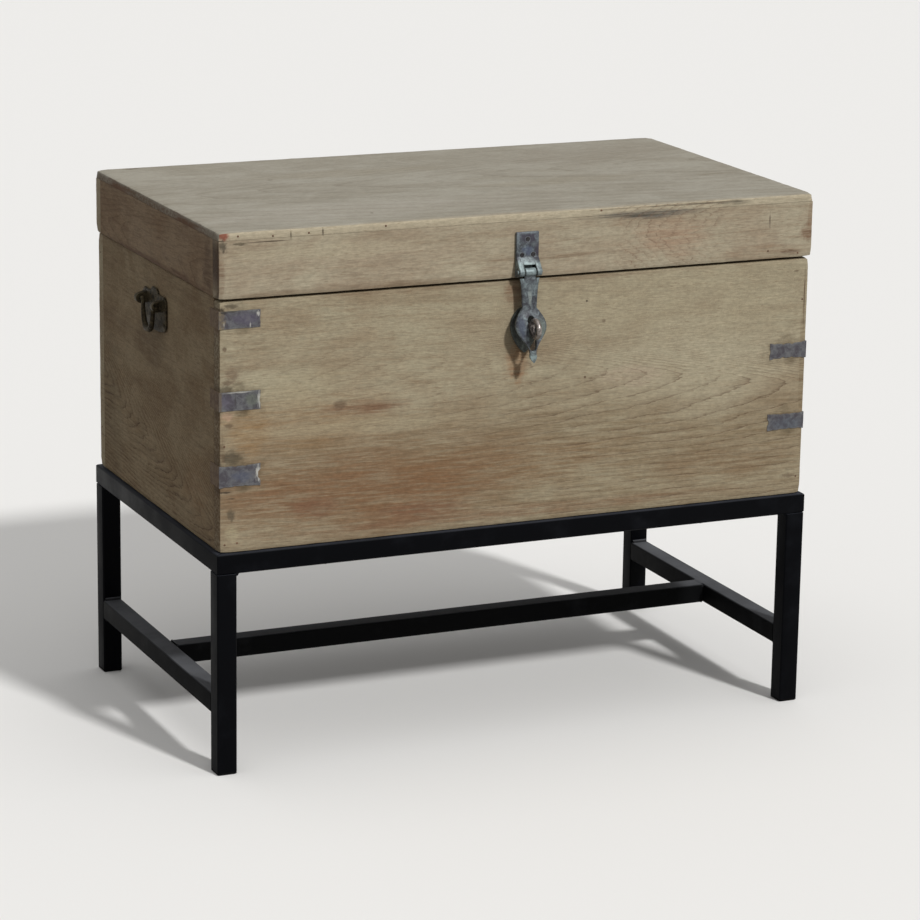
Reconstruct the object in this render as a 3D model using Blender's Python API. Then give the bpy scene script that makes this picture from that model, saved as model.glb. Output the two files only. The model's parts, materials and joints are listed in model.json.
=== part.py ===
"""A wooden trunk with a hinged lid, hasp and swing handles, on a stand of square steel tube.

Metres, +Z up. The floor is z = 0, +X runs along the front and -Y faces the viewer. The origin is
the middle of the floor area that the whole object covers.
"""
import math

import bmesh
import bpy
from mathutils import Matrix, Vector

# Clearances shared by all pieces
GAP = 0.0003  # between pieces that touch
OVERRUN = 0.002  # how far a cutter reaches past the face that it opens
MERGE = 0.000003  # corners nearer than this are one

# Stand of square tube
TUBE = 0.025
TUBE_WALL = 0.0018
TUBE_CORNER = 0.0015
STAND_END_MARGIN = 0.005  # how far the stand shows past the trunk's ends
STAND_SIDE_MARGIN = 0.0045  # and past its front and back
STAND_HEIGHT = 0.277
STRETCHER_HEIGHT = 0.0736
WELD = 0.0035
WELD_BULGE_SHARE = 0.68
FOOT_FLANGE = 0.0026
FOOT_ROUND = 0.0012
FOOT_STUB = 0.016
FOOT_RIB = 0.0005
STAND_SCREW_FROM_END = 0.138

# Trunk body
BODY_LENGTH = 0.786
BODY_DEPTH = 0.449
BODY_HEIGHT = 0.3074
BOARD = 0.0185
BOTTOM_BOARD = 0.012
FRONT_DROP = 0.0026  # the front board has shrunk, so the seam gapes there
EDGE_WEAR = 0.0011

# Lid
LID_OVERHANG = 0.002
LID_HEIGHT = 0.080
LID_TOP = 0.010
LID_RAIL = 0.0185

# Corner straps: place and width as shares, in the order from the top down
STRAP_LENGTH = 0.051
STRAP_WRAP = 0.030
STRAP_WIDTH = 0.0225
STRAP_SHEET = 0.0012
STRAP_NOTCH = 0.003
LEFT_STRAP_SHARES = ((0.921, 0.95), (0.602, 1.02), (0.305, 1.16))
RIGHT_STRAP_SHARES = ((0.612, 0.94), (0.313, 0.94))
LEFT_STRAP_NAMES = ("upper", "middle", "lower")
RIGHT_STRAP_NAMES = ("middle", "lower")

# Nails of the corner straps
TACK_HEAD = 0.0038
TACK_RISE = 0.0007
TACK_SHANK = 0.0016
TACK_LENGTH = 0.011
NAIL_SIDES = 6

# Screws
SCREW_HEAD = 0.0062
SCREW_SHANK = 0.0030
SCREW_LENGTH = 0.013
SCREW_SIDES = 8
DRIVER_SLOT = 0.0009
HINGE_SCREW_RISE = 0.00005
HANDLE_SCREW_RISE = 0.0011
STAND_SCREW_HEAD = 0.0095
STAND_SCREW_HEAD_HEIGHT = 0.0028
STAND_SCREW_SHANK = 0.0042
STAND_SCREW_GRIP = 0.016

# Butt hinges, let into the seam at the back
HINGE_LENGTH = 0.064
HINGE_LEAF = 0.0150
HINGE_SHEET = 0.0018
HINGE_BARREL = 0.0080
HINGE_PIN = 0.0036
HINGE_KNUCKLES = 5
HINGE_OUT = 0.0005  # from the back of the body to the pin's axis
HINGE_FROM_END = 0.148  # from the trunk's end to the hinge's middle
ROUND_SIDES = 16
PIN_SIDES = 12

# Hasp on the lid's front
HASP_PLATE_WIDTH = 0.030
HASP_PLATE_HEIGHT = 0.055
HASP_PLATE_SHEET = 0.0040
HASP_PLATE_BOTTOM = 0.0020  # above the lid's lower edge
HASP_EDGE = 0.0010
HASP_PIN = 0.0040
HASP_PIN_RISE = 0.0092  # above the lid's lower edge
HASP_PIN_OUT = 0.0110  # in front of the lid's face
HASP_KNUCKLE = 0.0102
HASP_LUG = 0.0108
HASP_SWELL = 0.0170  # how far above the pin the plate starts to swell
HASP_SLOT_RISE = 0.0088
HASP_MIDDLE = 0.0150
HASP_PIN_PROUD = 0.0012
HASP_SCREW_RISES = (0.0270, 0.0270, 0.0460)  # above the plate's lower edge
HASP_SCREW_SHIFTS = (-0.0073, 0.0073, 0.0)

# Hasp arm, measured down from the pin
ARM_SHEET = 0.0036
ARM_SHOULDER = 0.0260
ARM_SHOULDER_DROP = 0.0076
ARM_NECK = 0.0190
LEAF_START = 0.0440
LEAF_WIDEST = 0.0660
LEAF_END = 0.1000
LEAF_WIDTH = 0.0410
LEAF_RIM = 0.0012
LEAF_DOME = 0.0030
LEAF_TIP = 0.0105
TIP_WIDTH = 0.0078
TIP_POINT = 0.0012
ARM_RIDGE = 0.0012
ARM_LEAN = 0.012  # radians, neck
LEAF_LEAN = 0.235  # radians, leaf
SLOT_TOP = 0.0530
SLOT_BOTTOM = 0.0950
SLOT_WIDTH = 0.0096

# Staple on the body's front
EYE_REACH = 0.046  # foremost point of the eye, from the body's face
EYE_DIAMETER = 0.027
EYE_WIRE = 0.007
EYE_DROP = 0.0572  # middle of the eye, below the body's top
EYE_SIDES = 24
WIRE_SIDES = 10
STAPLE_WIDTH = 0.039
STAPLE_HEIGHT = 0.060
STAPLE_SHEET = 0.0030
STAPLE_BOSS = 0.0150
STAPLE_BOSS_RISE = 0.0028
STAPLE_ABOVE_SHARE = 0.40
STAPLE_SCREW_SHARES = (0.155, 0.70)
ROVE = 0.016
ROVE_SHEET = 0.0016
RIVET_HEAD = 0.0110
RIVET_RISE = 0.0024

# Swing handles on the ends
HANDLE_WIDTH = 0.086
HANDLE_HEIGHT = 0.053
HANDLE_SHEET = 0.0026
HANDLE_DROP = 0.0545  # middle of the plate, below the body's top
HANDLE_EDGE = 0.0008
HANDLE_CORNER = 0.012
HANDLE_WAIST = 0.004
LUG_SPREAD = 0.060
LUG_WIDTH = 0.0085
LUG_DIAMETER = 0.0125
LUG_OUT = 0.0078  # pivot, in front of the plate's face
LUG_RISE = 0.0085  # pivot, above the middle of the plate
BAIL_BAR = 0.0085
BAIL_END = 0.0046
BAIL_DROP = 0.0330
BAIL_NECK = 0.0060

# Angle past which an edge stays sharp, and shape factors without a unit
SHARP_ANGLE = math.radians(38)
NEAR_SHARE = 0.36
PAN_SHARE = 0.7
SLOT_LENGTH_SHARE = 0.8
HASP_SWELL_LEAN = math.radians(40)
RIDGE_TOP_SHARE = 0.75  # across the neck, from its middle to the ridge
RIDGE_FOOT_SHARE = 0.30
RIDGE_WIDTH_SHARE = 0.22
RIM_SHARE = 0.8  # across the leaf, from its middle to the rim
DOME_END_SHARE = 0.93  # along the leaf, where the dome ends
DOME_FULLNESS = 0.7
BUD_START_SHARE = 0.32
BUD_WIDTH_SHARE = 1.25
STAPLE_SKEW = 0.8
STAPLE_FULLNESS = 0.75
BOSS_TOP_SHARE = 0.75
HANDLE_SCREW_SHARE = 0.43
HANDLE_SCREW_RISE_SHARES = (-0.27, 0.10)
LUG_FOOT_SHARE = 1.35
BAIL_BEND_SHARE = 1.15
BAIL_BEND_START = math.radians(72)
BAIL_SIDE_FULLNESS = 0.62
BAIL_FOOT_FULLNESS = 1.05
BAIL_STEPS = 8

# Places worked out from the sizes above
STAND_LENGTH = BODY_LENGTH + 2 * STAND_END_MARGIN
STAND_DEPTH = BODY_DEPTH + 2 * STAND_SIDE_MARGIN
BACK_REACH = max(STAND_DEPTH / 2, BODY_DEPTH / 2 + HINGE_OUT + HINGE_BARREL / 2)
CENTRE_Y = (BODY_DEPTH / 2 + EYE_REACH - BACK_REACH) / 2
FRONT_Y = CENTRE_Y - BODY_DEPTH / 2
BACK_Y = CENTRE_Y + BODY_DEPTH / 2
END_X = BODY_LENGTH / 2
HINGE_PLACE = END_X - HINGE_FROM_END
STAND_SCREW_PLACE = END_X - STAND_SCREW_FROM_END
BODY_Z = STAND_HEIGHT + GAP
BODY_TOP = BODY_Z + BODY_HEIGHT
LID_Z = BODY_TOP + GAP
LID_TOP_Z = LID_Z + LID_HEIGHT
LID_FRONT = FRONT_Y - LID_OVERHANG
LID_BACK = BACK_Y + LID_OVERHANG
LID_END = END_X + LID_OVERHANG
HINGE_Y = BACK_Y + HINGE_OUT
HINGE_Z = BODY_TOP + GAP / 2
HASP_PIN_Y = LID_FRONT - HASP_PIN_OUT
HASP_PIN_Z = LID_Z + HASP_PIN_RISE
HASP_PIVOT = (0.0, HASP_PIN_Y, HASP_PIN_Z)
EYE_Y = FRONT_Y - EYE_REACH + EYE_DIAMETER / 2
EYE_Z = BODY_TOP - EYE_DROP
HANDLE_Z = BODY_TOP - HANDLE_DROP
LUG_Z = HANDLE_Z + LUG_RISE
STRETCHER_Z = STRETCHER_HEIGHT + TUBE / 2
WELD_RUN = TUBE - 3 * TUBE_CORNER


def material(name, colour, roughness, metallic):
    """One Principled BSDF finish."""
    made = bpy.data.materials.new(name)
    made.use_nodes = True
    shader = made.node_tree.nodes["Principled BSDF"]
    shader.inputs["Base Color"].default_value = (*colour, 1.0)
    shader.inputs["Roughness"].default_value = roughness
    shader.inputs["Metallic"].default_value = metallic
    made.diffuse_color = (*colour, 1.0)
    return made


def finish_mesh(name, shape, finish, pivot=(0.0, 0.0, 0.0), smooth=False):
    """Turn a bmesh drawn round the pivot into an object whose origin is the pivot."""
    bmesh.ops.recalc_face_normals(shape, faces=shape.faces)
    mesh = bpy.data.meshes.new(name)
    shape.to_mesh(mesh)
    shape.free()
    thing = bpy.data.objects.new(name, mesh)
    thing.location = pivot
    bpy.context.scene.collection.objects.link(thing)
    if smooth:
        mesh.shade_smooth()
        mesh.set_sharp_from_angle(angle=SHARP_ANGLE)
    if finish is not None:
        mesh.materials.append(finish)
    return thing


def as_cutter(name, shape, pivot=(0.0, 0.0, 0.0)):
    """An object that only cuts others, so it is neither drawn nor built."""
    thing = finish_mesh(name, shape, None, pivot)
    thing.hide_render = True
    thing.display_type = "WIRE"
    return thing


def boolean(target, tool, operation="DIFFERENCE"):
    """Cut the tool from the target, or join it to the target."""
    change = target.modifiers.new(tool.name, "BOOLEAN")
    change.operation = operation
    change.object = tool
    change.solver = "EXACT"


def soften(target, width, steps=1):
    """Break the sharp edges of a piece."""
    bevel = target.modifiers.new("edges", "BEVEL")
    bevel.width = width
    bevel.segments = steps
    bevel.limit_method = "ANGLE"
    bevel.angle_limit = SHARP_ANGLE


def add_box(shape, low, high):
    """A box from its lowest to its highest corner."""
    made = bmesh.ops.create_cube(shape, size=1.0)
    for vert in made["verts"]:
        vert.co = Vector([a if c < 0 else b for a, b, c in zip(low, high, vert.co)])


def box_object(name, low, high, finish, pivot=(0.0, 0.0, 0.0)):
    """A box from its lowest to its highest corner, as an object."""
    shape = bmesh.new()
    add_box(shape, low, high)
    return finish_mesh(name, shape, finish, pivot)


def add_loft(shape, rings):
    """Skin closed rings of equally many points, and close both ends."""
    rows = [[shape.verts.new(point) for point in ring] for ring in rings]
    count = len(rows[0])
    for lower, upper in zip(rows, rows[1:]):
        for i in range(count):
            j = (i + 1) % count
            shape.faces.new((lower[i], lower[j], upper[j], upper[i]))
    shape.faces.new(list(reversed(rows[0])))
    shape.faces.new(rows[-1])


def along(point, direction):
    """A matrix whose local Z axis starts at the point and runs in the direction."""
    turn = Vector((0.0, 0.0, 1.0)).rotation_difference(Vector(direction).normalized())
    return Matrix.Translation(point) @ turn.to_matrix().to_4x4()


def add_turned(shape, profile, place, sides):
    """Turn a profile of (radius, height) points, from axis to axis, into a solid."""
    verts = [shape.verts.new((radius, 0.0, height)) for radius, height in profile]
    edges = [shape.edges.new(pair) for pair in zip(verts, verts[1:])]
    made = bmesh.ops.spin(
        shape,
        geom=verts + edges,
        cent=(0, 0, 0),
        axis=(0, 0, 1),
        angle=math.tau,
        steps=sides,
        use_merge=True,
    )
    turned = {v for item in made["geom_last"] for v in getattr(item, "verts", ())} | set(verts)
    linked = set(turned)
    front = list(turned)
    while front:
        near = {e.other_vert(v) for v in front for e in v.link_edges} - linked
        linked |= near
        front = list(near)
    bmesh.ops.transform(shape, matrix=place, verts=list(linked))
    bmesh.ops.remove_doubles(shape, verts=list(linked), dist=MERGE)


def add_rod(shape, start, end, radius, sides=ROUND_SIDES):
    """A round rod from one point to another."""
    length = (Vector(end) - Vector(start)).length
    profile = ((0.0, 0.0), (radius, 0.0), (radius, length), (0.0, length))
    add_turned(shape, profile, along(start, Vector(end) - Vector(start)), sides)


def rod_cutter(name, start, end, radius, sides=ROUND_SIDES, pivot=(0.0, 0.0, 0.0)):
    """A round rod that cuts a bore."""
    shape = bmesh.new()
    add_rod(shape, start, end, radius, sides)
    return as_cutter(name, shape, pivot)


def add_prism(shape, outline, offset):
    """Extrude a flat outline of points by an offset."""
    base = shape.faces.new([shape.verts.new(point) for point in outline])
    grown = bmesh.ops.extrude_face_region(shape, geom=[base], use_keep_orig=True)
    moved = [item for item in grown["geom"] if isinstance(item, bmesh.types.BMVert)]
    bmesh.ops.translate(shape, verts=moved, vec=offset)


def arc(centre, radius, start, end, steps):
    """Points on an arc in a plane, from one angle to another."""
    turns = [start + (end - start) * i / steps for i in range(steps + 1)]
    return [(centre[0] + radius * math.cos(a), centre[1] + radius * math.sin(a)) for a in turns]


class Screws:
    """Screws or nails of one size, with the holes that they need in wood and metal."""

    def __init__(self, head, head_height, shank, length, pan_head=False):
        self.head = head / 2
        self.height = head_height
        self.shank = shank / 2
        self.length = length
        self.pan_head = pan_head

    def hole_below_head(self):
        """The shank's hole, as a turned profile."""
        deep = -self.length - GAP
        wide = self.shank + GAP
        return (0.0, OVERRUN), (wide, OVERRUN), (wide, deep), (0.0, deep)

    def countersunk(self):
        """A flat head whose top is level with the surface."""
        top = self.head
        foot = (self.shank, -self.length), (0.0, -self.length)
        return ((0.0, 0.0), (top, 0.0), (self.shank, -self.height)) + foot

    def countersink(self):
        """The hole for a countersunk screw."""
        deep = -self.length - GAP
        head = self.head + GAP
        wide = self.shank + GAP
        return (0.0, OVERRUN), (head, OVERRUN), (head, 0.0), (wide, -self.height), (wide, deep), (0.0, deep)

    def pan(self):
        """A head that stands on the surface."""
        top = self.height + GAP
        low = (self.shank, -self.length), (0.0, -self.length)
        return ((0.0, top), (self.head * PAN_SHARE, top), (self.head, GAP), (self.shank, GAP)) + low

    def grown_on(self, sheet):
        """A head and shank that are one body with the sheet they go through."""
        root = -sheet / 2
        low = (self.shank, -self.length), (0.0, -self.length)
        top = (0.0, self.height), (self.head * PAN_SHARE, self.height)
        return top + ((self.head, self.height / 4), (self.head, root), (self.shank, root)) + low

    def separate(self, names, places, direction, finish, targets, origin=(0.0, 0.0, 0.0)):
        """One node for each screw, and their holes in the targets; places are from the origin."""
        holes = bmesh.new()
        made = []
        for name, point in zip(names, places):
            place = along(point, -Vector(direction))
            solid = bmesh.new()
            add_turned(solid, self.pan() if self.pan_head else self.countersunk(), place, SCREW_SIDES)
            screw = finish_mesh(name, solid, finish, origin)
            if not self.pan_head:
                driver_slots(screw, name, [(point, direction)], self)
            hole = self.hole_below_head() if self.pan_head else self.countersink()
            add_turned(holes, hole, place, SCREW_SIDES)
            made.append(screw)
        cutter = as_cutter(names[0] + "_holes", holes, origin)
        for target in targets:
            boolean(target, cutter)
        return made

    def fused(self, piece, sheet, placed, boards, slotted=False):
        """Grow the screws on the piece that they hold, and cut their holes in the boards.

        Places are measured from the piece's origin.
        """
        solids = bmesh.new()
        holes = bmesh.new()
        for point, direction in placed:
            place = along(point, -Vector(direction))
            add_turned(solids, self.grown_on(sheet), place, NAIL_SIDES)
            add_turned(holes, self.hole_below_head(), place, NAIL_SIDES)
        boolean(piece, as_cutter(piece.name + "_screws", solids, piece.location), "UNION")
        if slotted:
            driver_slots(piece, piece.name, placed, self)
        cutter = as_cutter(piece.name + "_screw_holes", holes, piece.location)
        for target in boards:
            boolean(target, cutter)


def driver_slots(piece, name, placed, screws):
    """Cut the driver's slot across each screw's head."""
    shape = bmesh.new()
    half = screws.head * SLOT_LENGTH_SHARE
    top = max(0.0, screws.height) + OVERRUN
    for point, direction in placed:
        place = along(point, -Vector(direction))
        made = bmesh.ops.create_cube(shape, size=1.0)
        low = Vector((-half, -DRIVER_SLOT / 2, -DRIVER_SLOT))
        high = Vector((half, DRIVER_SLOT / 2, top))
        for vert in made["verts"]:
            corner = [a if c < 0 else b for a, b, c in zip(low, high, vert.co)]
            vert.co = place @ Vector(corner)
    boolean(piece, as_cutter(name + "_driver_slots", shape, piece.location))


def countersunk_screws():
    """The wood screws of the hasp and the staple."""
    return Screws(SCREW_HEAD, (SCREW_HEAD - SCREW_SHANK) / 2, SCREW_SHANK, SCREW_LENGTH)


# Stand


def tube_profile(side, corner):
    """The eight corners of a square with cut corners, as (across, up)."""
    half = side / 2
    cut = half - corner
    right = [(cut, -half), (half, -cut), (half, cut), (cut, half)]
    return right + [(-y, z) for y, z in reversed(right)]


def tube_object(name, place, length, finish, start_slope=0.0, end_slope=0.0):
    """An open square tube along local X; a slope makes a mitred end."""
    shape = bmesh.new()
    inner_corner = TUBE_CORNER * (TUBE - 2 * TUBE_WALL) / TUBE
    rows = []
    for side, corner in ((TUBE, TUBE_CORNER), (TUBE - 2 * TUBE_WALL, inner_corner)):
        for end, slope in ((0.0, start_slope), (length, end_slope)):
            ring = [place @ Vector((end + slope * y, y, z)) for y, z in tube_profile(side, corner)]
            rows.append([shape.verts.new(point) for point in ring])
    outer_start, outer_end, inner_start, inner_end = rows
    loop = (outer_start, outer_end, inner_end, inner_start)
    count = len(outer_start)
    for near, far in zip(loop, loop[1:] + loop[:1]):
        for i in range(count):
            j = (i + 1) % count
            shape.faces.new((near[i], near[j], far[j], far[i]))
    return finish_mesh(name, shape, finish)


def frame_rails(finish):
    """The mitred top frame."""
    half = TUBE / 2
    mitre_gap = GAP / math.sqrt(2)
    height = STAND_HEIGHT - half
    across = STAND_LENGTH / 2 - half
    deep = STAND_DEPTH / 2 - half
    rails = []
    sides = (
        ("stand_front_rail", (-across, CENTRE_Y - deep), 0.0, across),
        ("stand_right_rail", (across, CENTRE_Y - deep), math.pi / 2, deep),
        ("stand_back_rail", (across, CENTRE_Y + deep), math.pi, across),
        ("stand_left_rail", (-across, CENTRE_Y + deep), -math.pi / 2, deep),
    )
    for name, (x, y), turn, reach in sides:
        place = Matrix.Translation((x, y, height)) @ Matrix.Rotation(turn, 4, "Z")
        place = place @ Matrix.Translation((mitre_gap, 0.0, 0.0))
        rails.append(tube_object(name, place, 2 * (reach - mitre_gap), finish, 1.0, -1.0))
    return rails


def leg_places():
    """Name and centre of each leg."""
    across = STAND_LENGTH / 2 - TUBE / 2
    deep = STAND_DEPTH / 2 - TUBE / 2
    return (
        ("front_left", -across, CENTRE_Y - deep),
        ("front_right", across, CENTRE_Y - deep),
        ("back_left", -across, CENTRE_Y + deep),
        ("back_right", across, CENTRE_Y + deep),
    )


def legs_and_feet(steel, plastic):
    """Four legs between the foot plugs and the frame, with weld beads at their tops."""
    low = FOOT_FLANGE + GAP
    high = STAND_HEIGHT - TUBE - GAP
    for name, x, y in leg_places():
        place = Matrix.Translation((x, y, low)) @ Matrix.Rotation(-math.pi / 2, 4, "Y")
        leg = tube_object("stand_leg_" + name, place, high - low, steel)
        beads = bmesh.new()
        right = -math.copysign(1.0, x)
        back = math.copysign(1.0, CENTRE_Y - y)
        add_weld(beads, (x + right * TUBE / 2, y, high), (0, WELD_RUN, 0), (right, 0, 0), (0, 0, -1))
        add_weld(beads, (x, y + back * TUBE / 2, high), (WELD_RUN, 0, 0), (0, back, 0), (0, 0, -1))
        boolean(leg, as_cutter("stand_leg_%s_welds" % name, beads), "UNION")
        foot_plug("foot_plug_" + name, x, y, plastic)


def foot_plug(name, x, y, finish):
    """A plug with a flange under the leg and a ribbed stub inside it."""
    half = TUBE / 2
    inside = half - TUBE_WALL - GAP
    stub = inside - FOOT_RIB
    third = FOOT_STUB / 3
    levels = [(half - FOOT_ROUND, 0.0), (half, FOOT_ROUND), (half, FOOT_FLANGE), (stub, FOOT_FLANGE)]
    for rib in (1, 2):
        middle = FOOT_FLANGE + rib * third
        levels += [(stub, middle - FOOT_RIB), (inside, middle), (stub, middle + FOOT_RIB)]
    levels.append((stub, FOOT_FLANGE + FOOT_STUB))
    shape = bmesh.new()
    rings = []
    for size, height in levels:
        corner = TUBE_CORNER * size / half
        rings.append([(x + a, y + b, height) for a, b in tube_profile(2 * size, corner)])
    add_loft(shape, rings)
    finish_mesh(name, shape, finish)


def stretchers(finish):
    """Two side stretchers between the legs, and a long one between their middles."""
    half = TUBE / 2
    across = STAND_LENGTH / 2 - half
    deep = STAND_DEPTH / 2 - TUBE - GAP
    for name, x in (("left", -across), ("right", across)):
        place = Matrix.Translation((x, CENTRE_Y - deep, STRETCHER_Z)) @ Matrix.Rotation(math.pi / 2, 4, "Z")
        tube = tube_object("stand_%s_stretcher" % name, place, 2 * deep, finish)
        beads = bmesh.new()
        for back in (-1, 1):
            for up in (-1, 1):
                corner = (x, CENTRE_Y + back * deep, STRETCHER_Z + up * half)
                add_weld(beads, corner, (WELD_RUN, 0, 0), (0, 0, up), (0, -back, 0))
        boolean(tube, as_cutter("stand_%s_welds" % name, beads), "UNION")
    reach = STAND_LENGTH / 2 - TUBE - GAP
    tube = tube_object(
        "stand_long_stretcher", Matrix.Translation((-reach, CENTRE_Y, STRETCHER_Z)), 2 * reach, finish
    )
    beads = bmesh.new()
    for right in (-1, 1):
        for side in (-1, 1):
            above = (right * reach, CENTRE_Y, STRETCHER_Z + side * half)
            add_weld(beads, above, (0, WELD_RUN, 0), (0, 0, side), (-right, 0, 0))
            beside = (right * reach, CENTRE_Y + side * half, STRETCHER_Z)
            add_weld(beads, beside, (0, 0, WELD_RUN), (0, side, 0), (-right, 0, 0))
    boolean(tube, as_cutter("stand_long_welds", beads), "UNION")


def add_weld(shape, corner, run, off, down):
    """A weld bead on a tube's end: it stands off the tube's side and tapers down along it."""
    off, down, run = Vector(off), Vector(down), Vector(run)
    start = Vector(corner) - run / 2 - off * TUBE_WALL / 2
    rise = WELD + TUBE_WALL / 2
    bulge = (off * rise + down * WELD) * WELD_BULGE_SHARE
    outline = [start, start + off * rise, start + bulge]
    outline += [start + off * TUBE_WALL / 2 + down * WELD, start + down * WELD]
    add_prism(shape, outline, run)


def stand_screws(rails, boards, finish):
    """Pan-head screws through the long rails up into the front and back boards."""
    length = TUBE + GAP + STAND_SCREW_GRIP
    screws = Screws(STAND_SCREW_HEAD, STAND_SCREW_HEAD_HEIGHT, STAND_SCREW_SHANK, length, True)
    under = STAND_HEIGHT - TUBE
    rows = (("front", FRONT_Y + BOARD / 2), ("back", BACK_Y - BOARD / 2))
    columns = (("left", -STAND_SCREW_PLACE), ("right", STAND_SCREW_PLACE))
    names = ["stand_screw_%s_%s" % (row, column) for row, _ in rows for column, _ in columns]
    places = [(x, y, under) for _, y in rows for _, x in columns]
    screws.separate(names, places, (0, 0, 1), finish, rails + boards)


# Boards


def board(name, low, high, finish):
    """A plank with worn edges."""
    made = box_object(name, low, high, finish)
    soften(made, EDGE_WEAR)
    return made


def body_boards(finish):
    """Front and back boards run full length, and the end boards stand between them."""
    front = FRONT_Y + BOARD
    back = BACK_Y - BOARD
    inner = END_X - BOARD
    lip = BODY_TOP - FRONT_DROP
    near = front + GAP
    far = back - GAP
    edge = inner - GAP
    floor_top = BODY_Z + BOTTOM_BOARD
    return {
        "front": board("front_board", (-END_X, FRONT_Y, BODY_Z), (END_X, front, lip), finish),
        "back": board("back_board", (-END_X, back, BODY_Z), (END_X, BACK_Y, BODY_TOP), finish),
        "left": board("left_end_board", (-END_X, near, BODY_Z), (-inner, far, BODY_TOP), finish),
        "right": board("right_end_board", (inner, near, BODY_Z), (END_X, far, BODY_TOP), finish),
        "bottom": board("bottom_board", (-edge, near, BODY_Z), (edge, far, floor_top), finish),
    }


def lid_boards(finish):
    """A top board on four rails."""
    front = LID_FRONT + LID_RAIL
    back = LID_BACK - LID_RAIL
    inner = LID_END - LID_RAIL
    under = LID_TOP_Z - LID_TOP
    top = under - GAP
    near = front + GAP
    far = back - GAP
    return {
        "front": board("lid_front_rail", (-LID_END, LID_FRONT, LID_Z), (LID_END, front, top), finish),
        "back": board("lid_back_rail", (-LID_END, back, LID_Z), (LID_END, LID_BACK, top), finish),
        "left": board("lid_left_rail", (-LID_END, near, LID_Z), (-inner, far, top), finish),
        "right": board("lid_right_rail", (inner, near, LID_Z), (LID_END, far, top), finish),
        "top": board("lid_top_board", (-LID_END, LID_FRONT, under), (LID_END, LID_BACK, LID_TOP_Z), finish),
    }


# Corner straps


def add_folded_strap(shape, side, middle, width, grow, outward, inward):
    """A strap folded round a front corner, with a notched tail on the front face."""
    low = middle - width / 2 - grow
    high = middle + width / 2 + grow
    tail = STRAP_LENGTH + grow
    wrap = STRAP_WRAP + grow
    notch = (tail - STRAP_NOTCH, middle)
    layers = []
    for depth in (-outward, inward):
        corner_x = side * (END_X - depth)
        face_y = FRONT_Y + depth

        def front(run, height, x=corner_x, y=face_y, d=depth):
            return x - side * (run - d), y, height

        points = [front(tail, low), front(*notch), front(tail, high)]
        points += [(corner_x, face_y, high), (corner_x, FRONT_Y + wrap, high)]
        points += [(corner_x, FRONT_Y + wrap, low), (corner_x, face_y, low)]
        layers.append([shape.verts.new(point) for point in points])
    for layer in layers:
        shape.faces.new((layer[0], layer[1], layer[2], layer[3], layer[6]))
        shape.faces.new((layer[6], layer[3], layer[4], layer[5]))
    outer, inner = layers
    for i in range(len(outer)):
        j = (i + 1) % len(outer)
        shape.faces.new((outer[i], outer[j], inner[j], inner[i]))


def corner_straps(boards, sheet):
    """The straps with their nails, each in a recess of the front board and the end board."""
    tacks = Screws(TACK_HEAD, TACK_RISE, TACK_SHANK, TACK_LENGTH)
    for side, names, shares, end in (
        (-1, LEFT_STRAP_NAMES, LEFT_STRAP_SHARES, "left"),
        (1, RIGHT_STRAP_NAMES, RIGHT_STRAP_SHARES, "right"),
    ):
        recesses = bmesh.new()
        for label, (place, size) in zip(names, shares):
            middle = BODY_Z + place * BODY_HEIGHT
            width = size * STRAP_WIDTH
            shape = bmesh.new()
            add_folded_strap(shape, side, middle, width, 0.0, 0.0, STRAP_SHEET)
            strap = finish_mesh("corner_strap_%s_%s" % (end, label), shape, sheet)
            add_folded_strap(recesses, side, middle, width, GAP, OVERRUN, STRAP_SHEET + GAP)
            rise = width / 4
            tail = side * (END_X - STRAP_LENGTH + 2 * STRAP_NOTCH)
            near = side * (END_X - BOARD - TACK_HEAD)
            wrapped = (side * END_X, FRONT_Y + STRAP_WRAP - TACK_HEAD, middle - rise)
            spots = ((tail, middle + rise), (tail, middle - rise), (near, middle + rise))
            placed = [((x, FRONT_Y, z), (0, 1, 0)) for x, z in spots]
            placed.append((wrapped, (-side, 0, 0)))
            tacks.fused(strap, STRAP_SHEET, placed, [boards["front"], boards[end]])
        cutter = as_cutter("strap_recesses_" + end, recesses)
        boolean(boards["front"], cutter)
        boolean(boards[end], cutter)


# Butt hinges


def knuckle_spans(parity):
    """Start and end along X, from the hinge's middle, of every other knuckle."""
    pitch = HINGE_LENGTH / HINGE_KNUCKLES
    starts = [i * pitch - HINGE_LENGTH / 2 for i in range(parity, HINGE_KNUCKLES, 2)]
    return [(start, start + pitch) for start in starts]


def hinge_leaf(name, pivot, side, finish):
    """One leaf with its knuckles, drawn round the pin's axis: side -1 on the body, 1 on the lid."""
    radius = HINGE_BARREL / 2
    parity = 0 if side < 0 else 1
    half = HINGE_LENGTH / 2
    near = side * GAP / 2
    far = near + side * HINGE_SHEET
    low = (-half, -HINGE_LEAF, min(near, far))
    high = (half, -radius / 2, max(near, far))
    leaf = box_object(name, low, high, finish, pivot)
    own = bmesh.new()
    for start, end in knuckle_spans(parity):
        add_rod(own, (start + GAP / 2, 0, 0), (end - GAP / 2, 0, 0), radius)
    boolean(leaf, as_cutter(name + "_knuckles", own, pivot), "UNION")
    other = bmesh.new()
    for start, end in knuckle_spans(1 - parity):
        add_rod(other, (start - GAP / 2, 0, 0), (end + GAP / 2, 0, 0), radius + GAP)
    boolean(leaf, as_cutter(name + "_clearance", other, pivot))
    reach = half + OVERRUN
    bore = rod_cutter(name + "_bore", (-reach, 0, 0), (reach, 0, 0), HINGE_PIN / 2 + GAP, pivot=pivot)
    boolean(leaf, bore)
    return leaf


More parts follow.
